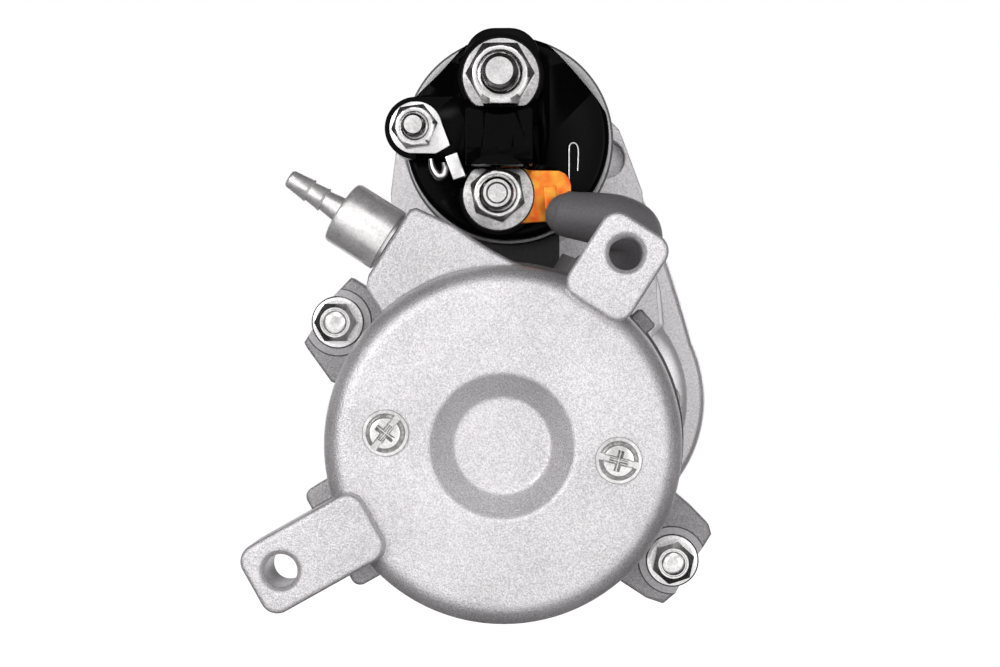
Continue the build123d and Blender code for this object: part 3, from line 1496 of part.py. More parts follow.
with BuildPart() as nose_bushing:
    with BuildSketch(across(52.0)):
        Circle(8.0)
        Circle(NOSE_SHAFT_R + RUNNING, mode=Mode.SUBTRACT)
    extrude(amount=10.0)

nose_bushing.part.label = "nose_bushing"
export_step(nose_bushing.part, "parts/nose_bushing.step")

with BuildPart() as solenoid_screws:
    for x in (-SOL_SCREW_X, SOL_SCREW_X):
        with BuildSketch(across(Y_CAVITY_REAR)):
            with Locations((x, SOL_SCREW_Z)):
                Circle(2.5)
        extrude(amount=Y_CAVITY_REAR - SOL_FRONT + 3.0)
        with BuildSketch(across(Y_CAVITY_REAR + 4.0)):
            with Locations((x, SOL_SCREW_Z)):
                hexagon(8.0, 30.0)
        extrude(amount=4.0)

solenoid_screws.part.label = "solenoid_screws"
export_step(solenoid_screws.part, "parts/solenoid_screws.step")
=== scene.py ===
import json
from math import cos, pi, radians, sin

import bmesh
import bpy
from mathutils import Matrix, Vector


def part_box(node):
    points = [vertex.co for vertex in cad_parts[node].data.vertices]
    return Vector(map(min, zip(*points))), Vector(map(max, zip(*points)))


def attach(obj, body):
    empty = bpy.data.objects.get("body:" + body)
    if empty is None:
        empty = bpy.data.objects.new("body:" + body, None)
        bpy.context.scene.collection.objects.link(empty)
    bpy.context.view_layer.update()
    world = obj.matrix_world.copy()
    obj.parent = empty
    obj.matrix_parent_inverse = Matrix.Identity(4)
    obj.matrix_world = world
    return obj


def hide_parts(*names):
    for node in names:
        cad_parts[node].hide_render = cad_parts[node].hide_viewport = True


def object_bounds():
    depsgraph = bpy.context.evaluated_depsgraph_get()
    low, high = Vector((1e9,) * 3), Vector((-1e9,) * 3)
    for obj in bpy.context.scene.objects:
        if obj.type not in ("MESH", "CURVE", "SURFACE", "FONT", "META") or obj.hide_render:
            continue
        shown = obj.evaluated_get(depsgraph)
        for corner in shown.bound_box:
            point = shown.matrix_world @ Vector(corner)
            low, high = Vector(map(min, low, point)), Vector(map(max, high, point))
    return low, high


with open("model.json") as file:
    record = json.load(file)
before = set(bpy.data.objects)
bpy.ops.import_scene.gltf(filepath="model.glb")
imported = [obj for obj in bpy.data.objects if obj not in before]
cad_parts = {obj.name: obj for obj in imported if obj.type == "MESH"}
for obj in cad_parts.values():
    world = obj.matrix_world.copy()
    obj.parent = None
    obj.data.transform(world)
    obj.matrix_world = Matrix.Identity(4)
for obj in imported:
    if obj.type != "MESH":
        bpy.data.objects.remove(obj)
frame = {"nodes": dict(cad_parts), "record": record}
cad_low, cad_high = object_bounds()
nodes = frame["nodes"]
MM = 0.001

# The motor's shaft runs along Y; the rear cover faces -Y, the solenoid is above.
REARWARD = Vector((0, -1, 0))
UP = Vector((0, 0, 1))

# The cover's ears stand this far behind its flat face, where its screws sit and the camera looks.
EAR_STAND = 3.0
cover_face = cad_low.y + EAR_STAND * MM


# ------------------------------------------------------------------ material helpers

def new_material(name):
    """A node material with its tree, its Principled shader, and its own object coordinates."""
    material = bpy.data.materials.new(name)
    material.use_nodes = True
    tree = material.node_tree
    shader = tree.nodes["Principled BSDF"]
    place = tree.nodes.new("ShaderNodeTexCoord").outputs["Object"]
    return material, tree, shader, place


def noise(tree, place, size, detail, stretch=(1, 1, 1)):
    """Noise whose blotches are about size metres across."""
    mapping = tree.nodes.new("ShaderNodeMapping")
    mapping.inputs["Scale"].default_value = stretch
    tree.links.new(place, mapping.inputs["Vector"])
    texture = tree.nodes.new("ShaderNodeTexNoise")
    texture.inputs["Scale"].default_value = 1.0 / size
    texture.inputs["Detail"].default_value = detail
    tree.links.new(mapping.outputs["Vector"], texture.inputs["Vector"])
    return texture.outputs["Fac"]


def ramp(tree, value, low, high, to_low, to_high):
    """Spreads the range low to high of a value over to_low to to_high, and holds it there."""
    node = tree.nodes.new("ShaderNodeMapRange")
    node.inputs["From Min"].default_value = low
    node.inputs["From Max"].default_value = high
    node.inputs["To Min"].default_value = to_low
    node.inputs["To Max"].default_value = to_high
    tree.links.new(value, node.inputs["Value"])
    return node.outputs["Result"]


def feed(tree, socket, value):
    """Links a socket's value into another, or sets a number or colour."""
    if isinstance(value, bpy.types.NodeSocket):
        tree.links.new(value, socket)
    else:
        socket.default_value = value


def mix_colours(tree, factor, first, second):
    node = tree.nodes.new("ShaderNodeMix")
    node.data_type = "RGBA"
    first_socket, second_socket = (socket for socket in node.inputs if socket.type == "RGBA")
    feed(tree, first_socket, first)
    feed(tree, second_socket, second)
    feed(tree, node.inputs["Factor"], factor)
    return next(socket for socket in node.outputs if socket.type == "RGBA")


def combine(tree, operation, first, second):
    node = tree.nodes.new("ShaderNodeMath")
    node.operation = operation
    feed(tree, node.inputs[0], first)
    feed(tree, node.inputs[1], second)
    return node.outputs["Value"]


def bump(tree, shader, height, distance, rounding=0.0):
    """Fine relief, over sharp edges softened by a rounding radius."""
    node = tree.nodes.new("ShaderNodeBump")
    node.inputs["Distance"].default_value = distance
    tree.links.new(height, node.inputs["Height"])
    if rounding:
        soft = tree.nodes.new("ShaderNodeBevel")
        soft.samples = 6
        soft.inputs["Radius"].default_value = rounding
        tree.links.new(soft.outputs["Normal"], node.inputs["Normal"])
    tree.links.new(node.outputs["Normal"], shader.inputs["Normal"])


# Darkens a colour by a tone, for painted shade.
def darkened(colour, tone):
    red, green, blue, alpha = colour
    return red * tone, green * tone, blue * tone, alpha


def grained(
    name, light, dark, metallic, rough, grain, relief, blotch=0.02, specular=0.5, painted_shade=None, rounding=0.0
):
    """Cast, moulded or rubber surface: fine grain in colour and relief over slow blotches.

    Painted shade (lit y, shaded y, tone) darkens a casting along the shaft, behind its end face, for the
    shade on its lugs and rim.
    """
    material, tree, shader, place = new_material(name)
    shader.inputs["Metallic"].default_value = metallic
    shader.inputs["Specular IOR Level"].default_value = specular
    light = (*light, 1)
    dark = (*dark, 1)
    fine = noise(tree, place, grain, 1.0)
    slow = noise(tree, place, blotch, 3.0)
    speckle = ramp(tree, fine, 0.25, 0.75, 0.0, 1.0)
    cloud = ramp(tree, slow, 0.35, 0.65, -0.12, 0.12)
    colour = mix_colours(tree, combine(tree, "ADD", speckle, cloud), dark, light)
    # Painted shade: the colour darkens along the shaft, away from the end face.
    if painted_shade:
        lit_y, shaded_y, tone = painted_shade
        parts = tree.nodes.new("ShaderNodeSeparateXYZ")
        tree.links.new(place, parts.inputs["Vector"])
        depth = ramp(tree, parts.outputs["Y"], lit_y, shaded_y, 0.0, 1.0)
        shaded_colour = mix_colours(tree, speckle, darkened(dark, tone), darkened(light, tone))
        colour = mix_colours(tree, depth, colour, shaded_colour)
    tree.links.new(colour, shader.inputs["Base Color"])
    tree.links.new(ramp(tree, slow, 0.3, 0.7, *rough), shader.inputs["Roughness"])
    bump(tree, shader, fine, relief, rounding)
    return material


def turned(name, light, dark, metallic, rough, stretch=(1, 1, 1), relief=0.00001):
    """Machined, drawn or plated metal: fine marks, drawn out along one direction by a stretch."""
    material, tree, shader, place = new_material(name)
    shader.inputs["Metallic"].default_value = metallic
    marks = noise(tree, place, 0.0006, 4.0, stretch)
    slow = noise(tree, place, 0.004, 2.0)
    streak = ramp(tree, marks, 0.3, 0.7, 0.0, 1.0)
    cloud = ramp(tree, slow, 0.3, 0.7, -0.25, 0.25)
    colour = mix_colours(tree, combine(tree, "ADD", streak, cloud), (*dark, 1), (*light, 1))
    tree.links.new(colour, shader.inputs["Base Color"])
    tree.links.new(ramp(tree, slow, 0.3, 0.7, *rough), shader.inputs["Roughness"])
    bump(tree, shader, marks, relief)
    return material


# ------------------------------------------------------------------ materials

# Each entry: maker, light colour, dark colour, metallic share, roughness range, then its marks.
CAST_GRAIN = 0.0003
FINISHES = {
    # The cover's casting gets painted shade: its colour darkens along the shaft, behind its end face, on
    # its lugs and rim.
    "cast_cover": (
        grained, (0.92, 0.89, 0.915), (0.47, 0.45, 0.465), 0.55, (0.36, 0.44),
        {"grain": CAST_GRAIN, "relief": 0.0001, "painted_shade": (-0.1365, -0.1255, 0.42), "rounding": 0.0011},
    ),
    "cast_housing": (
        grained, (0.92, 0.895, 0.915), (0.62, 0.60, 0.615), 0.55, (0.36, 0.44),
        {"grain": CAST_GRAIN * 1.5, "relief": 0.00006, "rounding": 0.0007},
    ),
    "yoke_steel": (
        grained, (0.30, 0.30, 0.31), (0.22, 0.22, 0.23), 0.5, (0.35, 0.5),
        {"grain": 0.0008, "relief": 0.00003},
    ),
    "zinc_steel": (turned, (0.76, 0.75, 0.75), (0.56, 0.55, 0.55), 1.0, (0.18, 0.28), {}),
    "polished_washer": (turned, (0.58, 0.57, 0.57), (0.36, 0.35, 0.35), 1.0, (0.20, 0.30), {}),
    "bright_metal": (turned, (0.72, 0.71, 0.71), (0.56, 0.55, 0.55), 1.0, (0.26, 0.36), {}),
    "machined_seat": (turned, (0.44, 0.43, 0.44), (0.31, 0.30, 0.31), 0.6, (0.34, 0.44), {}),
    "machined_steel": (
        turned, (0.62, 0.62, 0.63), (0.44, 0.44, 0.46), 1.0, (0.22, 0.36), {"stretch": (0.2, 3, 0.2)},
    ),
    "nickel_metal": (turned, (0.90, 0.88, 0.88), (0.66, 0.64, 0.64), 0.55, (0.30, 0.40), {}),
    "case_steel": (
        grained, (0.52, 0.51, 0.52), (0.40, 0.39, 0.40), 0.7, (0.34, 0.46),
        {"grain": 0.0005, "relief": 0.00002},
    ),
    "black_plastic": (
        grained, (0.003, 0.003, 0.0033), (0.0015, 0.0015, 0.0017), 0.0, (0.20, 0.32),
        {"grain": 0.0007, "relief": 0.00001, "specular": 0.05, "rounding": 0.0003},
    ),
    "copper": (
        grained, (1.0, 0.46, 0.04), (1.0, 0.10, 0.002), 0.5, (0.26, 0.40),
        {"grain": 0.0024, "relief": 0.00004, "blotch": 0.004},
    ),
    "magnet": (
        grained, (0.10, 0.10, 0.11), (0.05, 0.05, 0.055), 0.2, (0.5, 0.7),
        {"grain": 0.0006, "relief": 0.00005},
    ),
    "laminations": (
        turned, (0.36, 0.36, 0.37), (0.20, 0.20, 0.21), 0.9, (0.35, 0.5),
        {"stretch": (0.1, 2.0, 0.1), "relief": 0.00006},
    ),
    "carbon": (
        grained, (0.08, 0.075, 0.075), (0.03, 0.03, 0.03), 0.1, (0.5, 0.7),
        {"grain": 0.0005, "relief": 0.00005},
    ),
    "bronze": (turned, (0.62, 0.43, 0.20), (0.42, 0.28, 0.12), 0.9, (0.3, 0.45), {}),
    "brown_resin": (
        grained, (0.28, 0.12, 0.05), (0.16, 0.07, 0.03), 0.0, (0.3, 0.45),
        {"grain": 0.001, "relief": 0.00003},
    ),
    "white_nylon": (
        grained, (0.80, 0.78, 0.72), (0.68, 0.66, 0.60), 0.0, (0.4, 0.55),
        {"grain": 0.0008, "relief": 0.00003},
    ),
    "grey_rubber": (
        grained, (0.215, 0.205, 0.213), (0.170, 0.162, 0.168), 0.0, (0.42, 0.55),
        {"grain": 0.0005, "relief": 0.00002, "blotch": 0.01, "specular": 0.35},
    ),
    "black_rubber": (
        grained, (0.02, 0.02, 0.021), (0.01, 0.01, 0.01), 0.0, (0.5, 0.65),
        {"grain": 0.0006, "relief": 0.00004},
    ),
    "spring_steel": (turned, (0.50, 0.50, 0.52), (0.34, 0.34, 0.36), 1.0, (0.2, 0.35), {}),
}
MATERIALS = {
    name: maker(name, light, dark, metallic, rough, **marks)
    for name, (maker, light, dark, metallic, rough, marks) in FINISHES.items()
}

for entry in frame["record"]["subparts"]:
    node = nodes[entry["node"]]
    node.data.materials.clear()
    node.data.materials.append(MATERIALS[entry["material_slot"]])


# ------------------------------------------------------------------ mesh helpers

CREASE = radians(25)


def finish_mesh(name, work, smooth_angle=CREASE):
    """Turns a bmesh into a smooth-shaded object with sharp creases kept."""
    bmesh.ops.recalc_face_normals(work, faces=work.faces)
    mesh = bpy.data.meshes.new(name)
    work.to_mesh(mesh)
    work.free()
    mesh.shade_smooth()
    mesh.set_sharp_from_angle(angle=smooth_angle)
    obj = bpy.data.objects.new(name, mesh)
    bpy.context.scene.collection.objects.link(obj)
    return obj


def middle(node):
    low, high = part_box(node)
    return (low + high) / 2


def length_along_shaft(node):
    """How long a node is along the shaft, in mm."""
    low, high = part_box(node)
    return (high.y - low.y) / MM


def frame_along(origin, direction):
    """Matrix whose local z runs along direction; for REARWARD, local x and y are world X and Z."""
    ahead = direction.normalized()
    side = UP.cross(ahead).normalized()
    return Matrix.Translation(origin) @ Matrix((side, ahead.cross(side), ahead)).transposed().to_4x4()


def add_rings(work, rings, origin, direction=REARWARD, segments=72, loop=False):
    """Adds a solid of rings about an axis, in mm, each (radius, height) or a function of the angle.

    A loop joins its last ring to its first, for a piece with a hole through it.
    """
    place = frame_along(origin, direction)
    loops = []
    for ring in rings:
        if not callable(ring) and ring[0] <= 0:
            loops.append([work.verts.new(place @ Vector((0, 0, ring[1] * MM)))])
            continue
        verts = []
        for step in range(segments):
            angle = 2 * pi * step / segments
            radius, height = ring(angle) if callable(ring) else ring
            local = Vector((radius * cos(angle), radius * sin(angle), height)) * MM
            verts.append(work.verts.new(place @ local))
        loops.append(verts)
    pairs = list(zip(loops, loops[1:]))
    if loop:
        pairs.append((loops[-1], loops[0]))
    for lower, upper in pairs:
        for step in range(segments):
            after = (step + 1) % segments
            corners = list(dict.fromkeys((
                lower[step % len(lower)], lower[after % len(lower)],
                upper[after % len(upper)], upper[step % len(upper)],
            )))
            if len(corners) > 2:
                work.faces.new(corners)


def ring_solid(name, rings, origin, direction=REARWARD, segments=72, loop=False):
    work = bmesh.new()
    add_rings(work, rings, origin, direction, segments, loop)
    return finish_mesh(name, work)


def thread(radius, pitch, depth, low, high, tip):
    """Rings of a screw thread from low to high, which narrows to the radius tip at its end."""
    rings_per_turn = 8
    lead_in = 1.1
    count = max(2, round((high - low) / pitch * rings_per_turn))

    def ring_at(height):
        limit = min(radius, tip + max(0.0, high - height) * lead_in)

        def ring(angle):
            phase = (height / pitch - angle / (2 * pi)) % 1.0
            crest = abs(2 * phase - 1)
            return min(limit, radius - depth * (1 - crest)), height
        return ring

    return [ring_at(low + (high - low) * step / count) for step in range(count + 1)]


def hex_ring(flats, height, turn=0.0, slope=0.0, flat_radius=0.0):
    """Hexagonal ring; slope makes its corners fall away outside flat_radius."""
    def ring(angle):
        off_flat = (angle - radians(turn)) % (pi / 3) - pi / 6
        radius = flats / 2 / cos(off_flat)
        return radius, height - max(0.0, radius - flat_radius) * slope
    return ring


def chord_ring(radius, height, chord, side):
    """Circle cut straight at a distance chord from its centre, below (side -1) or above (+1)."""
    def ring(angle):
        reach = side * sin(angle)
        return (min(radius, chord / reach) if reach > 1e-6 else radius), height
    return ring


def blend_span(before, first, last, after, share):
    """Number at a share of the way from first to last, on the curve through all four."""
    return 0.5 * (
        2 * first
        + (last - before) * share
        + (2 * before - 5 * first + 4 * last - after) * share ** 2
        + (3 * first - before - 3 * last + after) * share ** 3
    )


def spline(points, steps):
    """Smooth curve through tuples of numbers: Catmull-Rom spans between them."""
    ends = [points[0], *points, points[-1]]
    curve = []
    for span in zip(ends, ends[1:], ends[2:], ends[3:]):
        for step in range(steps):
            curve.append(tuple(blend_span(*values, step / steps) for values in zip(*span)))
    curve.append(points[-1])
    return curve


def tube(name, path, segments):
    """Round tube through (x, y, z, radius) points in mm, closed at both ends."""
    work = bmesh.new()
    places = [Vector(point[:3]) * MM for point in path]
    side = (places[1] - places[0]).normalized().orthogonal().normalized()
    loops = []
    for index, point in enumerate(path):
        ahead = places[min(index + 1, len(places) - 1)] - places[max(index - 1, 0)]
        ahead.normalize()
        side = (side - ahead * side.dot(ahead)).normalized()
        other = ahead.cross(side)
        ring = []
        for step in range(segments):
            turn = 2 * pi * step / segments
            outward = side * cos(turn) + other * sin(turn)
            ring.append(work.verts.new(places[index] + outward * point[3] * MM))
        loops.append(ring)
    for lower, upper in zip(loops, loops[1:]):
        for step in range(segments):
            after = (step + 1) % segments
            work.faces.new((lower[step], lower[after], upper[after], upper[step]))
    work.faces.new(loops[0])
    work.faces.new(loops[-1])
    return finish_mesh(name, work, radians(50))


def round_edges(work, radius, segments):
    bmesh.ops.bevel(
        work, geom=list(work.edges), offset=radius * MM, segments=segments, profile=0.5, affect="EDGES"
    )


def set_down(work, place, turn):
    """Turns a solid about the shaft's direction and moves it to its place in mm."""
    work.transform(Matrix.Rotation(-radians(turn), 4, "Y"))
    work.transform(Matrix.Translation(Vector(place) * MM))


def sized_cube(size):
    """Bmesh of a box at the origin, with its three sizes in mm."""
    work = bmesh.new()
    bmesh.ops.create_cube(work, size=1.0)
    work.transform(Matrix.Diagonal((*[side * MM for side in size], 1)))
    return work


def block(name, size, place, turn=0.0, rounding=0.0):
    """Box with its edges rounded, its size and place in mm."""
    work = sized_cube(size)
    if rounding:
        round_edges(work, rounding, 3)
    set_down(work, place, turn)
    return finish_mesh(name, work)


def wedge(name, size, place, turn, pinch):
    """Cutter for a recess with sloping walls: a block whose forward side is pinched narrower."""
    work = sized_cube(size)
    for vert in work.verts:
        if vert.co.y > 0:
            vert.co.x *= 1 - pinch * size[2] / size[0]
            vert.co.z *= 1 - pinch
    set_down(work, place, turn)
    return finish_mesh(name, work)


def plate(name, outline, rear, front, rounding=0.0):
    """Flat plate between two stations of the shaft, from an (x, z) outline in mm."""
    work = bmesh.new()
    face = work.faces.new([work.verts.new((x * MM, front * MM, z * MM)) for x, z in outline])
    swept = bmesh.ops.extrude_face_region(work, geom=[face])
    moved = [part for part in swept["geom"] if isinstance(part, bmesh.types.BMVert)]
    bmesh.ops.translate(work, verts=moved, vec=(0, (rear - front) * MM, 0))
    if rounding:
        round_edges(work, rounding, 2)
    return finish_mesh(name, work)


def arc(centre, radius, start, stop, step):
    """Points (x, z) of an arc about a centre, from one angle towards another in degrees."""
    return [
        (centre[0] + radius * cos(radians(angle)), centre[1] + radius * sin(radians(angle)))
        for angle in range(start, stop, step)
    ]


def offset(outline, centre):
    """Outline whose points are given from a centre."""
    return [(centre.x / MM + x, centre.z / MM + z) for x, z in outline]


def mesh_copy(name, mesh):
    obj = bpy.data.objects.new(name, mesh)
    bpy.context.scene.collection.objects.link(obj)
    return obj


def carve(obj, *cutters, keep="DIFFERENCE"):
    """Cuts the cutters out of obj, or keeps what lies in them, as a finished mesh."""
    for cutter in cutters:
        cut = obj.modifiers.new("cut", "BOOLEAN")
        cut.operation = keep
        cut.solver = "EXACT"
        cut.object = cutter
    bpy.context.view_layer.update()
    shaped = bpy.data.meshes.new_from_object(obj.evaluated_get(bpy.context.evaluated_depsgraph_get()))
    obj.modifiers.clear()
    obj.data = shaped
    shaped.shade_smooth()
    shaped.set_sharp_from_angle(angle=CREASE)
    for cutter in cutters:
        bpy.data.objects.remove(cutter)
    return obj


def join(name, *parts):
    """One object out of several, whose places are in their meshes."""
    work = bmesh.new()
    for part in parts:
        work.from_mesh(part.data)
        bpy.data.objects.remove(part)
    return finish_mesh(name, work)


def dress(obj, slot, *replaced, material=None):
    """Fixes a piece to the housing, gives it the material named, or else its slot's, and hides the nodes
    it stands for.
    """
    obj.data.materials.clear()
    obj.data.materials.append(MATERIALS[material or slot])
    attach(obj, "housing")
    if replaced:
        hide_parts(*replaced)


# ------------------------------------------------------------------ terminal nuts, studs and washers

battery_stud = middle("terminal_30_nut")
motor_stud = middle("motor_terminal_nut")
switch_stud = middle("terminal_50_nut")


def make_nut(node, flats, bore, sink, turn=0.0):
    """Hexagon nut in its CAD node's place, with turned corners and a countersunk thread."""
    centre = middle(node)
    height = length_along_shaft(node)
    face_radius = flats / 2 * 0.93
    rings = [
        (bore, 0.0),
        (bore, height - sink),
        (bore + sink, height),
        (face_radius - 0.5, height),
        (face_radius - 0.15, height - 0.06),
        hex_ring(flats, height - 0.12, turn, 0.75, face_radius),
        hex_ring(flats, 0.35, turn),
        hex_ring(flats - 0.5, 0.0, turn),
    ]
    seat = Vector((centre.x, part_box(node)[1].y, centre.z))
    nut = ring_solid(node + "_detail", rings, seat, segments=96, loop=True)
    dress(nut, "zinc_steel", node)


make_nut("terminal_30_nut", 13.0, 4.05, 1.0)
make_nut("motor_terminal_nut", 11.0, 3.55, 0.8, 40.0)
make_nut("terminal_50_nut", 9.0, 2.55, 0.7, 8.0)


def make_main_studs():
    """The battery's M8 stud and the motor's shorter M7 one, both on heads inside the cap."""
    node = "main_terminal_studs"
    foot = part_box(node)[1].y
    head_r = 5.8
    head_height = 2.0
    battery_r = 4.0
    battery_reach = length_along_shaft(node)
    battery_rings = [
        (0, 0), (head_r, 0), (head_r, head_height), (battery_r, head_height), (battery_r, 8.4),
        *thread(battery_r, 1.25, 0.42, 8.4, battery_reach - 0.15, tip=3.0),
        (2.95, battery_reach), (1.6, battery_reach), (0, battery_reach - 0.05),
    ]
    motor_r = 3.5
    motor_reach = battery_reach - 6.0
    motor_rings = [
        (0, 0), (head_r, 0), (head_r, head_height), (motor_r, head_height), (motor_r, 7.4),
        *thread(motor_r, 1.0, 0.34, 7.4, motor_reach - 0.15, tip=3.1),
        (3.0, motor_reach), (2.4, motor_reach - 0.02), (2.0, motor_reach - 0.35), (0, motor_reach - 0.5),
    ]
    work = bmesh.new()
    for stud, rings in ((battery_stud, battery_rings), (motor_stud, motor_rings)):
        add_rings(work, rings, Vector((stud.x, foot, stud.z)), segments=48)
    dress(finish_mesh("terminal_studs", work), "zinc_steel", node)


def make_switch_stud():
    node = "terminal_50_stud"
    radius = 2.5
    reach = length_along_shaft(node)
    rings = [
        (0, 0), (radius, 0), (radius, 14.0),
        *thread(radius, 0.8, 0.28, 14.0, reach - 0.1, tip=2.0),
        (1.95, reach), (0, reach),
    ]
    foot = Vector((switch_stud.x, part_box(node)[1].y, switch_stud.z))
    dress(ring_solid("switch_stud", rings, foot, segments=48), "zinc_steel", node)


def make_washers():
    """Washers under the two main nuts, each cut straight on the side that faces the cap's block."""
    thickness = 1.1
    work = bmesh.new()
    for nut_node, outer, bore, chord, side in (
        ("terminal_30_nut", 8.6, 4.2, 6.6, -1),
        ("motor_terminal_nut", 8.0, 3.5, 5.9, 1),
    ):
        centre = middle(nut_node)
        rings = [
            (bore, -thickness),
            (bore, 0.0),
            chord_ring(outer - 0.3, -0.35, chord - 0.2, side),
            chord_ring(outer, -0.6, chord, side),
            chord_ring(outer, -thickness, chord, side),
        ]
        seat = Vector((centre.x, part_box(nut_node)[1].y, centre.z))
        add_rings(work, rings, seat, segments=96, loop=True)
    washers = finish_mesh("terminal_washers", work)
    dress(washers, "zinc_steel", "main_terminal_washers", material="polished_washer")


make_main_studs()
make_switch_stud()
make_washers()


# ------------------------------------------------------------------ terminal cap and the case's rim

cap_low, cap_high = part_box("terminal_cap")
case_low, case_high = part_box("solenoid_case")
case_r = (case_high.x - case_low.x) / 2 / MM
case_rear = Vector(((case_low.x + case_high.x) / 2, case_low.y, case_high.z - case_r * MM))

# The copper tab lies on the cap's flat rear face.
cap_face_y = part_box("motor_lead_tab")[1].y / MM


def make_cap_tower():
    """Round-shouldered wall behind the battery terminal, from the cap's inner floor rearward."""
    left, right, top, foot = -8.0, 8.4, 10.7, -4.9
    shoulder = 6.5
    outline = [
        (left, foot),
        *arc((left + shoulder, top - shoulder), shoulder, 180, 89, -10),
        *arc((right - shoulder, top - shoulder), shoulder, 90, -1, -10),
        (right, foot),
    ]
    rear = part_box("main_terminal_washers")[1].y / MM - 3.2
    cap_floor_y = cap_high.y / MM - 10.0
    dress(plate("cap_tower", offset(outline, battery_stud), rear, cap_floor_y, 0.3), "black_plastic")


def make_case_rim():
    """Bright rolled edge of the steel case, which holds the cap."""
    inner = case_r - 3.0
    rings = [
        (inner, 0.0), (inner + 0.2, 0.3), (inner + 1.6, 0.6), (case_r - 0.5, 0.5),
        (case_r, 0.0), (case_r, -0.4), (inner, -0.4),
    ]
    dress(ring_solid("case_rim", rings, case_rear, segments=120, loop=True), "case_steel")


def make_cap():
    """The CAD cap, cut back in two crescents that let the rolled rim show beside the tower."""
    axis = (0.0, case_rear.z / MM)
    cutters = []
    for start, stop in ((6, 75), (108, 164)):
        inner = []
        for angle in range(start, stop, 3):
            radius = 23.5 - 2.8 * sin(pi * (angle - start) / (stop - start))
            inner.append((radius * cos(radians(angle)), axis[1] + radius * sin(radians(angle))))
        outer = arc(axis, 26.0, stop, start, -3)
        cutters.append(plate("cut", inner + outer, cap_face_y, case_low.y / MM - 0.05))
    cap = mesh_copy("cap_detail", nodes["terminal_cap"].data.copy())
    dress(carve(cap, *cutters), "black_plastic", "terminal_cap")


make_cap_tower()
make_case_rim()
make_cap()


# ------------------------------------------------------------------ cover screws

WASHER_R = 4.8
SLOT_DEPTH = 0.75


def make_screw_head(place, turn):
    """Slotted and crossed pan head in its washer, with a bridge over the groove at each slot end."""
    head_height = 2.25
    foot = (cover_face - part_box("cover_screws")[1].y) / MM
    rings = [
        (0, foot), (2.0, foot), (2.0, 0.0), (WASHER_R, 0.0), (WASHER_R, 0.45), (WASHER_R - 0.15, 0.7),
        (4.05, 0.75), (3.65, 0.1), (3.25, 1.2), (3.2, 1.9), (3.05, 2.1), (2.6, 2.2), (0, head_height),
    ]
    head = ring_solid("head", rings, place)
    centre = place / MM
    slot = wedge(
        "slot", (9.6, 2 * SLOT_DEPTH, 2.4), centre + REARWARD * head_height, turn, 0.6
    )
    arms = [
        wedge("arm", (4.6, 2.0, 1.5), centre + REARWARD * 1.6, turn + quarter, 0.9)
        for quarter in (0, 90)
    ]
    carve(head, slot, *arms)
    bridges = []
    for reach in (-3.35, 3.35):
        along = Matrix.Rotation(-radians(turn), 4, "Y") @ Vector((reach, 0, 0))
        bridges.append(block("bridge", (1.7, 1.3, 1.3), centre + along + REARWARD * 0.65, turn))
    return [head, *bridges]


def make_cover_screws():
    low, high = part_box("cover_screws")
    washer_r = WASHER_R * MM
    upper_left = Vector((low.x + washer_r, cover_face, high.z - washer_r))
    lower_right = Vector((high.x - washer_r, cover_face, low.z + washer_r))
    parts = make_screw_head(upper_left, 52.0) + make_screw_head(lower_right, -14.5)
    dress(join("cover_screw_detail", *parts), "zinc_steel", "cover_screws")


make_cover_screws()


# ------------------------------------------------------------------ through bolts and their seats

CAD_FLANGE_R = 4.9
bolt_low, bolt_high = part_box("through_bolts")
bolt_reach = length_along_shaft("through_bolts")
flange_r = CAD_FLANGE_R * MM
BOLTS = {
    "left": (Vector((bolt_low.x + flange_r, bolt_high.y, bolt_high.z - flange_r)), 0.0),
    "right": (Vector((bolt_high.x - flange_r, bolt_high.y, bolt_low.z + flange_r)), 18.0),
}


def from_tip(rings):
    """Rings of a bolt whose heights are given from its tip, which are all below it."""
    return [(radius, bolt_reach + height) for radius, height in rings]


def make_bolts():
    """Flanged hexagon heads with a raised, domed middle, on long plain shanks."""
    flats = 7.9
    end = [(0, 0), (2.2, 0), (2.5, 0.4)]
    flange = [
        (2.5, -6.95), (4.6, -6.9), (5.5, -6.85), (5.6, -6.5), (5.3, -6.2), (4.7, -6.1), (4.7, -5.9),
    ]
    crown = [
        (3.15, -0.95), (2.8, -0.95), (2.7, -1.3), (2.5, -1.3), (2.45, -0.75),
        (2.25, -0.35), (1.7, -0.1), (1.0, -0.02), (0, 0.0),
    ]
    work = bmesh.new()
    for foot, turn in BOLTS.values():
        hexagon = [
            hex_ring(flats, bolt_reach - 5.9, turn),
            hex_ring(flats, bolt_reach - 1.0, turn, 0.65, 3.2),
        ]
        add_rings(work, end + from_tip(flange) + hexagon + from_tip(crown), foot, segments=96)
    dress(finish_mesh("through_bolt_detail", work), "zinc_steel", "through_bolts")


def make_bolt_seats():
    """Machined steps under the bolt heads, as far as the cover's lugs reach."""
    step = 0.35
    flange_height = bolt_reach - 6.9
    lug_mesh = nodes["rear_cover"].data.copy()
    lug_mesh.transform(Matrix.Translation(REARWARD * step * MM))
    rings = [(0, -0.8), (7.3, -0.8), (7.3, 0.0), (7.0, step), (0, step)]
    for side, (foot, _) in BOLTS.items():
        seat = ring_solid("bolt_seat_" + side, rings, foot + REARWARD * flange_height * MM, segments=96)
        carve(seat, mesh_copy("lug", lug_mesh), keep="INTERSECT")
        seat.data.shade_flat()
        dress(seat, "cast_cover", material="machined_seat")


make_bolts()
make_bolt_seats()


# ------------------------------------------------------------------ switch terminal and motor terminal

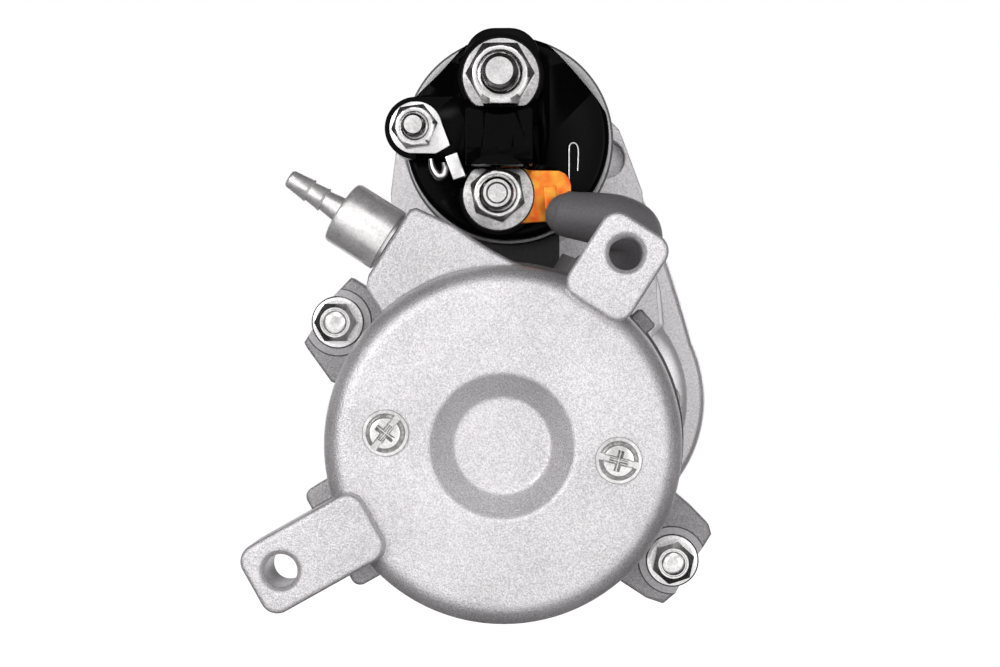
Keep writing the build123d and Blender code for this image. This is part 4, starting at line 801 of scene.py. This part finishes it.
def make_switch_terminal():
    """Ring terminal on the switch stud, with its crimp's open wing and the tab beside it."""
    node = "terminal_50_lug"
    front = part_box(node)[1].y / MM
    ring = arc((0, 0), 5.8, 12, 264, 9)
    lug = plate(
        "lug", offset(ring + [(4.4, -5.7), (7.6, -3.9)], switch_stud), front - 1.0, front, 0.12
    )
    x = switch_stud.x / MM
    z = switch_stud.z / MM
    wing = tube("wing", spline([
        (x + 3.4, front - 1.4, z - 6.9, 0.55), (x + 3.8, front - 1.5, z - 8.9, 0.75),
        (x + 5.0, front - 1.6, z - 10.6, 0.95), (x + 6.1, front - 1.6, z - 10.4, 0.95),
        (x + 6.5, front - 1.5, z - 9.1, 0.8), (x + 6.1, front - 1.4, z - 7.7, 0.45),
    ], 6), 16)
    tab = block("tab", (3.0, 2.4, 5.6), (x + 8.8, front - 1.6, z - 8.6), 20.0, 0.3)
    terminal = join("switch_terminal", lug, wing, tab)
    dress(terminal, "nickel_metal", node, material="bright_metal")


def make_cap_bridge():
    """Foot of the cap's block, which reaches down over the top of the motor terminal's washer."""
    rear = cap_low.y / MM
    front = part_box("motor_terminal_nut")[1].y / MM - 0.3
    place = (motor_stud.x / MM + 0.4, (front + rear) / 2, motor_stud.z / MM + 8.1)
    dress(block("cap_bridge", (14.4, front - rear, 4.0), place, rounding=0.3), "black_plastic")


def make_copper_tab():
    """Flat tab under the motor terminal's washer, with the fold that the lead is welded to."""
    outline = [
        (0.0, -6.6), (15.3, -5.6), (15.9, -3.2), (16.1, 2.0), (15.7, 3.6), (14.7, 4.8),
        (13.3, 5.4), (6.9, 5.5), (2.4, 6.8), (-4.1, 4.8), (-6.1, -0.2), (-4.1, -4.7),
    ]
    flat = plate("flat", offset(outline, motor_stud), cap_face_y - 1.15, cap_face_y, 0.25)
    fold_place = (motor_stud.x / MM + 11.5, cap_face_y - 1.1, motor_stud.z / MM - 0.6)
    fold = block("fold", (2.8, 0.5, 5.2), fold_place, 4.0, 0.2)
    dress(join("copper_tab", flat, fold), "copper", "motor_lead_tab")


def make_lead():
    """Boot and lead in one, from the copper tab round under the right ear to the grommet.

    Its points are (x, y, z, radius) from the motor stud, with y from the boot's middle.
    """
    route = [
        (13.9, 0.6, -4.2, 4.0), (14.05, 0.5, -4.25, 4.6), (14.7, 0.4, -4.4, 4.95),
        (17.4, 0.2, -4.9, 5.2), (22.4, 0.0, -5.6, 5.7), (26.4, 0.0, -6.4, 5.9),
        (29.7, 0.8, -8.0, 5.7), (30.5, 3.2, -10.8, 5.3), (28.5, 6.0, -13.4, 4.6),
        (24.7, 8.0, -14.6, 3.6), (20.5, 9.0, -15.0, 3.0),
    ]
    x = motor_stud.x / MM
    y = middle("motor_lead_boot").y / MM
    z = motor_stud.z / MM
    path = [(x + across, y + along, z + up, radius) for across, along, up, radius in route]
    path.append((*(middle("lead_grommet") / MM), 2.6))
    lead = tube("lead", spline(path, 7), 36)
    dress(lead, "grey_rubber", "motor_lead_boot", "motor_lead_cable")


def make_hairpin_clip():
    node = "lead_clip"
    wire_r = 0.24
    loop = [
        (1.0, -1.4), (1.1, 1.0), (1.1, 3.4), (0.7, 4.5), (0.0, 4.8),
        (-0.7, 4.4), (-0.9, 3.2), (-0.9, -0.5), (-0.9, -4.6),
    ]
    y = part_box(node)[0].y / MM + 0.35
    path = [(x, y, z, wire_r) for x, z in offset(loop, middle(node))]
    dress(tube("hairpin_clip", spline(path, 6), 10), "spring_steel", node, material="bright_metal")


make_switch_terminal()
make_cap_bridge()
make_copper_tab()
make_lead()
make_hairpin_clip()


# ------------------------------------------------------------------ vent fitting

hose = next(entry for entry in frame["record"]["mounts"] if entry["name"] == "vent_hose")
vent_axis = Vector(hose["axis"])
VENT_REACH = 24.4
vent_seat = Vector(hose["pos_m"]) - vent_axis * VENT_REACH * MM


def make_vent_fitting():
    """Turned body, pressed into the cover's arm, that holds the nipple."""
    bore = 1.3
    neck_r = 3.9
    body_r = 6.95
    rings = [
        (bore, -5.9), (neck_r, -5.9), (neck_r, 0.2), (6.1, 0.2), (6.1, 0.8), (6.8, 0.85),
        (body_r, 1.0), (body_r, 11.6), (6.7, 12.3), (6.1, 12.6), (2.8, 12.6), (2.75, 6.0), (bore, 6.0),
    ]
    fitting = ring_solid("fitting", rings, vent_seat, vent_axis, 96, loop=True)
    dress(fitting, "nickel_metal", "vent_fitting")


def make_vent_nipple():
    bore = 1.1
    rings = [(bore, 6.0), (2.75, 6.0), (2.75, 13.2)]
    for start, neck_r, barb_r in ((17.0, 2.25, 2.7), (20.6, 2.15, 2.6)):
        rings += [
            (neck_r, start - 0.25), (barb_r - 0.1, start - 0.15),
            (barb_r, start), (barb_r - 0.15, start + 0.3),
        ]
    rings += [(1.95, 25.2), (1.65, 25.6), (bore, 25.6)]
    nipple = ring_solid("nipple", rings, vent_seat, vent_axis, 48, loop=True)
    dress(nipple, "nickel_metal", "vent_nipple")


make_vent_fitting()
make_vent_nipple()


# ------------------------------------------------------------------ camera and lamps

CAMERA_SIDE = 12.8
CAMERA_UP = 26.8
CAMERA_REACH = 400.0
AIM_SIDE = -0.4
AIM_UP = 23.0


def point_at(obj, target):
    obj.rotation_euler = (target - obj.location).to_track_quat("-Z", "Y").to_euler()


camera_data = bpy.data.cameras.new("camera")
camera_data.lens = 70.9
camera_data.sensor_width = 36.0
camera = bpy.data.objects.new("camera", camera_data)
bpy.context.scene.collection.objects.link(camera)
camera.location = (CAMERA_SIDE * MM, cover_face - CAMERA_REACH * MM, CAMERA_UP * MM)
point_at(camera, Vector((AIM_SIDE * MM, cover_face, AIM_UP * MM)))
bpy.context.scene.camera = camera

# Each lamp: place, width of its disc, power. The first three light the photographed end.
centre = (cad_low + cad_high) / 2
LAMPS = {
    "key": ((-0.62, -1.25, 0.30), 0.50, 3.7),
    "fill": ((0.60, -1.25, 0.05), 0.60, 1.6),
    "top": ((0.05, -1.15, 0.75), 0.60, 1.7),
    "side_left": ((-1.05, 0.55, 0.25), 0.60, 2.4),
    "rear_left": ((-1.20, -0.40, 0.30), 0.60, 1.3),
    "rear_right": ((1.20, -0.40, 0.30), 0.60, 1.3),
    "side_right": ((1.05, 0.55, 0.25), 0.60, 2.2),
}
for name, (place, width, power) in LAMPS.items():
    lamp = bpy.data.lights.new(name, "AREA")
    lamp.shape = "DISK"
    lamp.size = width
    lamp.energy = power
    lamp_object = bpy.data.objects.new(name, lamp)
    bpy.context.scene.collection.objects.link(lamp_object)
    lamp_object.location = place
    point_at(lamp_object, centre)


# ------------------------------------------------------------------ world and studio

BACKGROUND_RAYS = ("Is Camera Ray", "Is Glossy Ray", "Is Transmission Ray")
WORLD_LIGHT = 0.16
FLOOR_GLOW = 0.86
FLOOR_DROP = 120.0
FLAG_R = 0.155
FLAG_LENGTH = 0.28
FLAG_Y = -0.10


def background_rays(tree):
    """1 on the rays that see the studio's background, otherwise 0."""
    rays = tree.nodes.new("ShaderNodeLightPath")
    seen = rays.outputs[BACKGROUND_RAYS[0]]
    for kind in BACKGROUND_RAYS[1:]:
        seen = combine(tree, "MAXIMUM", seen, rays.outputs[kind])
    return seen


def matte(name, shade):
    """Plain material for a studio piece, with its tree and shader."""
    material, tree, shader, _ = new_material(name)
    shader.inputs["Base Color"].default_value = (shade, shade, shade, 1)
    shader.inputs["Specular IOR Level"].default_value = 0.0
    return material, tree, shader


def make_world():
    """The world lights the object dimly, and the camera and reflections see it white."""
    world = bpy.data.worlds.new("studio")
    bpy.context.scene.world = world
    world.use_nodes = True
    tree = world.node_tree
    background = tree.nodes["Background"]
    background.inputs["Color"].default_value = (1, 1, 1, 1)
    strength = ramp(tree, background_rays(tree), 0.0, 1.0, WORLD_LIGHT, 1.0)
    tree.links.new(strength, background.inputs["Strength"])


def make_floor():
    """The floor glows just short of white to the same rays, and the lamps bring it to white."""
    work = bmesh.new()
    bmesh.ops.create_grid(work, x_segments=1, y_segments=1, size=3.0)
    floor = finish_mesh("floor", work)
    floor.location = (centre.x, centre.y, cad_low.z - FLOOR_DROP * MM)
    material, tree, shader = matte("floor_white", 0.9)
    shader.inputs["Roughness"].default_value = 0.9
    shader.inputs["Emission Color"].default_value = (1, 1, 1, 1)
    glow = combine(tree, "MULTIPLY", background_rays(tree), FLOOR_GLOW)
    tree.links.new(glow, shader.inputs["Emission Strength"])
    floor.data.materials.append(material)


def make_flag():
    """A dark studio flag round the object, seen only in its reflections: it edges the metal."""
    work = bmesh.new()
    bmesh.ops.create_cone(
        work, cap_ends=False, segments=96, radius1=FLAG_R, radius2=FLAG_R, depth=FLAG_LENGTH,
        matrix=Matrix.Translation((0, FLAG_Y, centre.z)) @ Matrix.Rotation(pi / 2, 4, "X"),
    )
    flag = finish_mesh("flag", work)
    material, _, _ = matte("flag_black", 0.05)
    flag.data.materials.append(material)
    flag.visible_camera = False
    flag.visible_diffuse = False
    flag.visible_shadow = False
    flag.visible_transmission = False


make_world()
make_floor()
make_flag()

bpy.context.scene.view_settings.view_transform = "Standard"
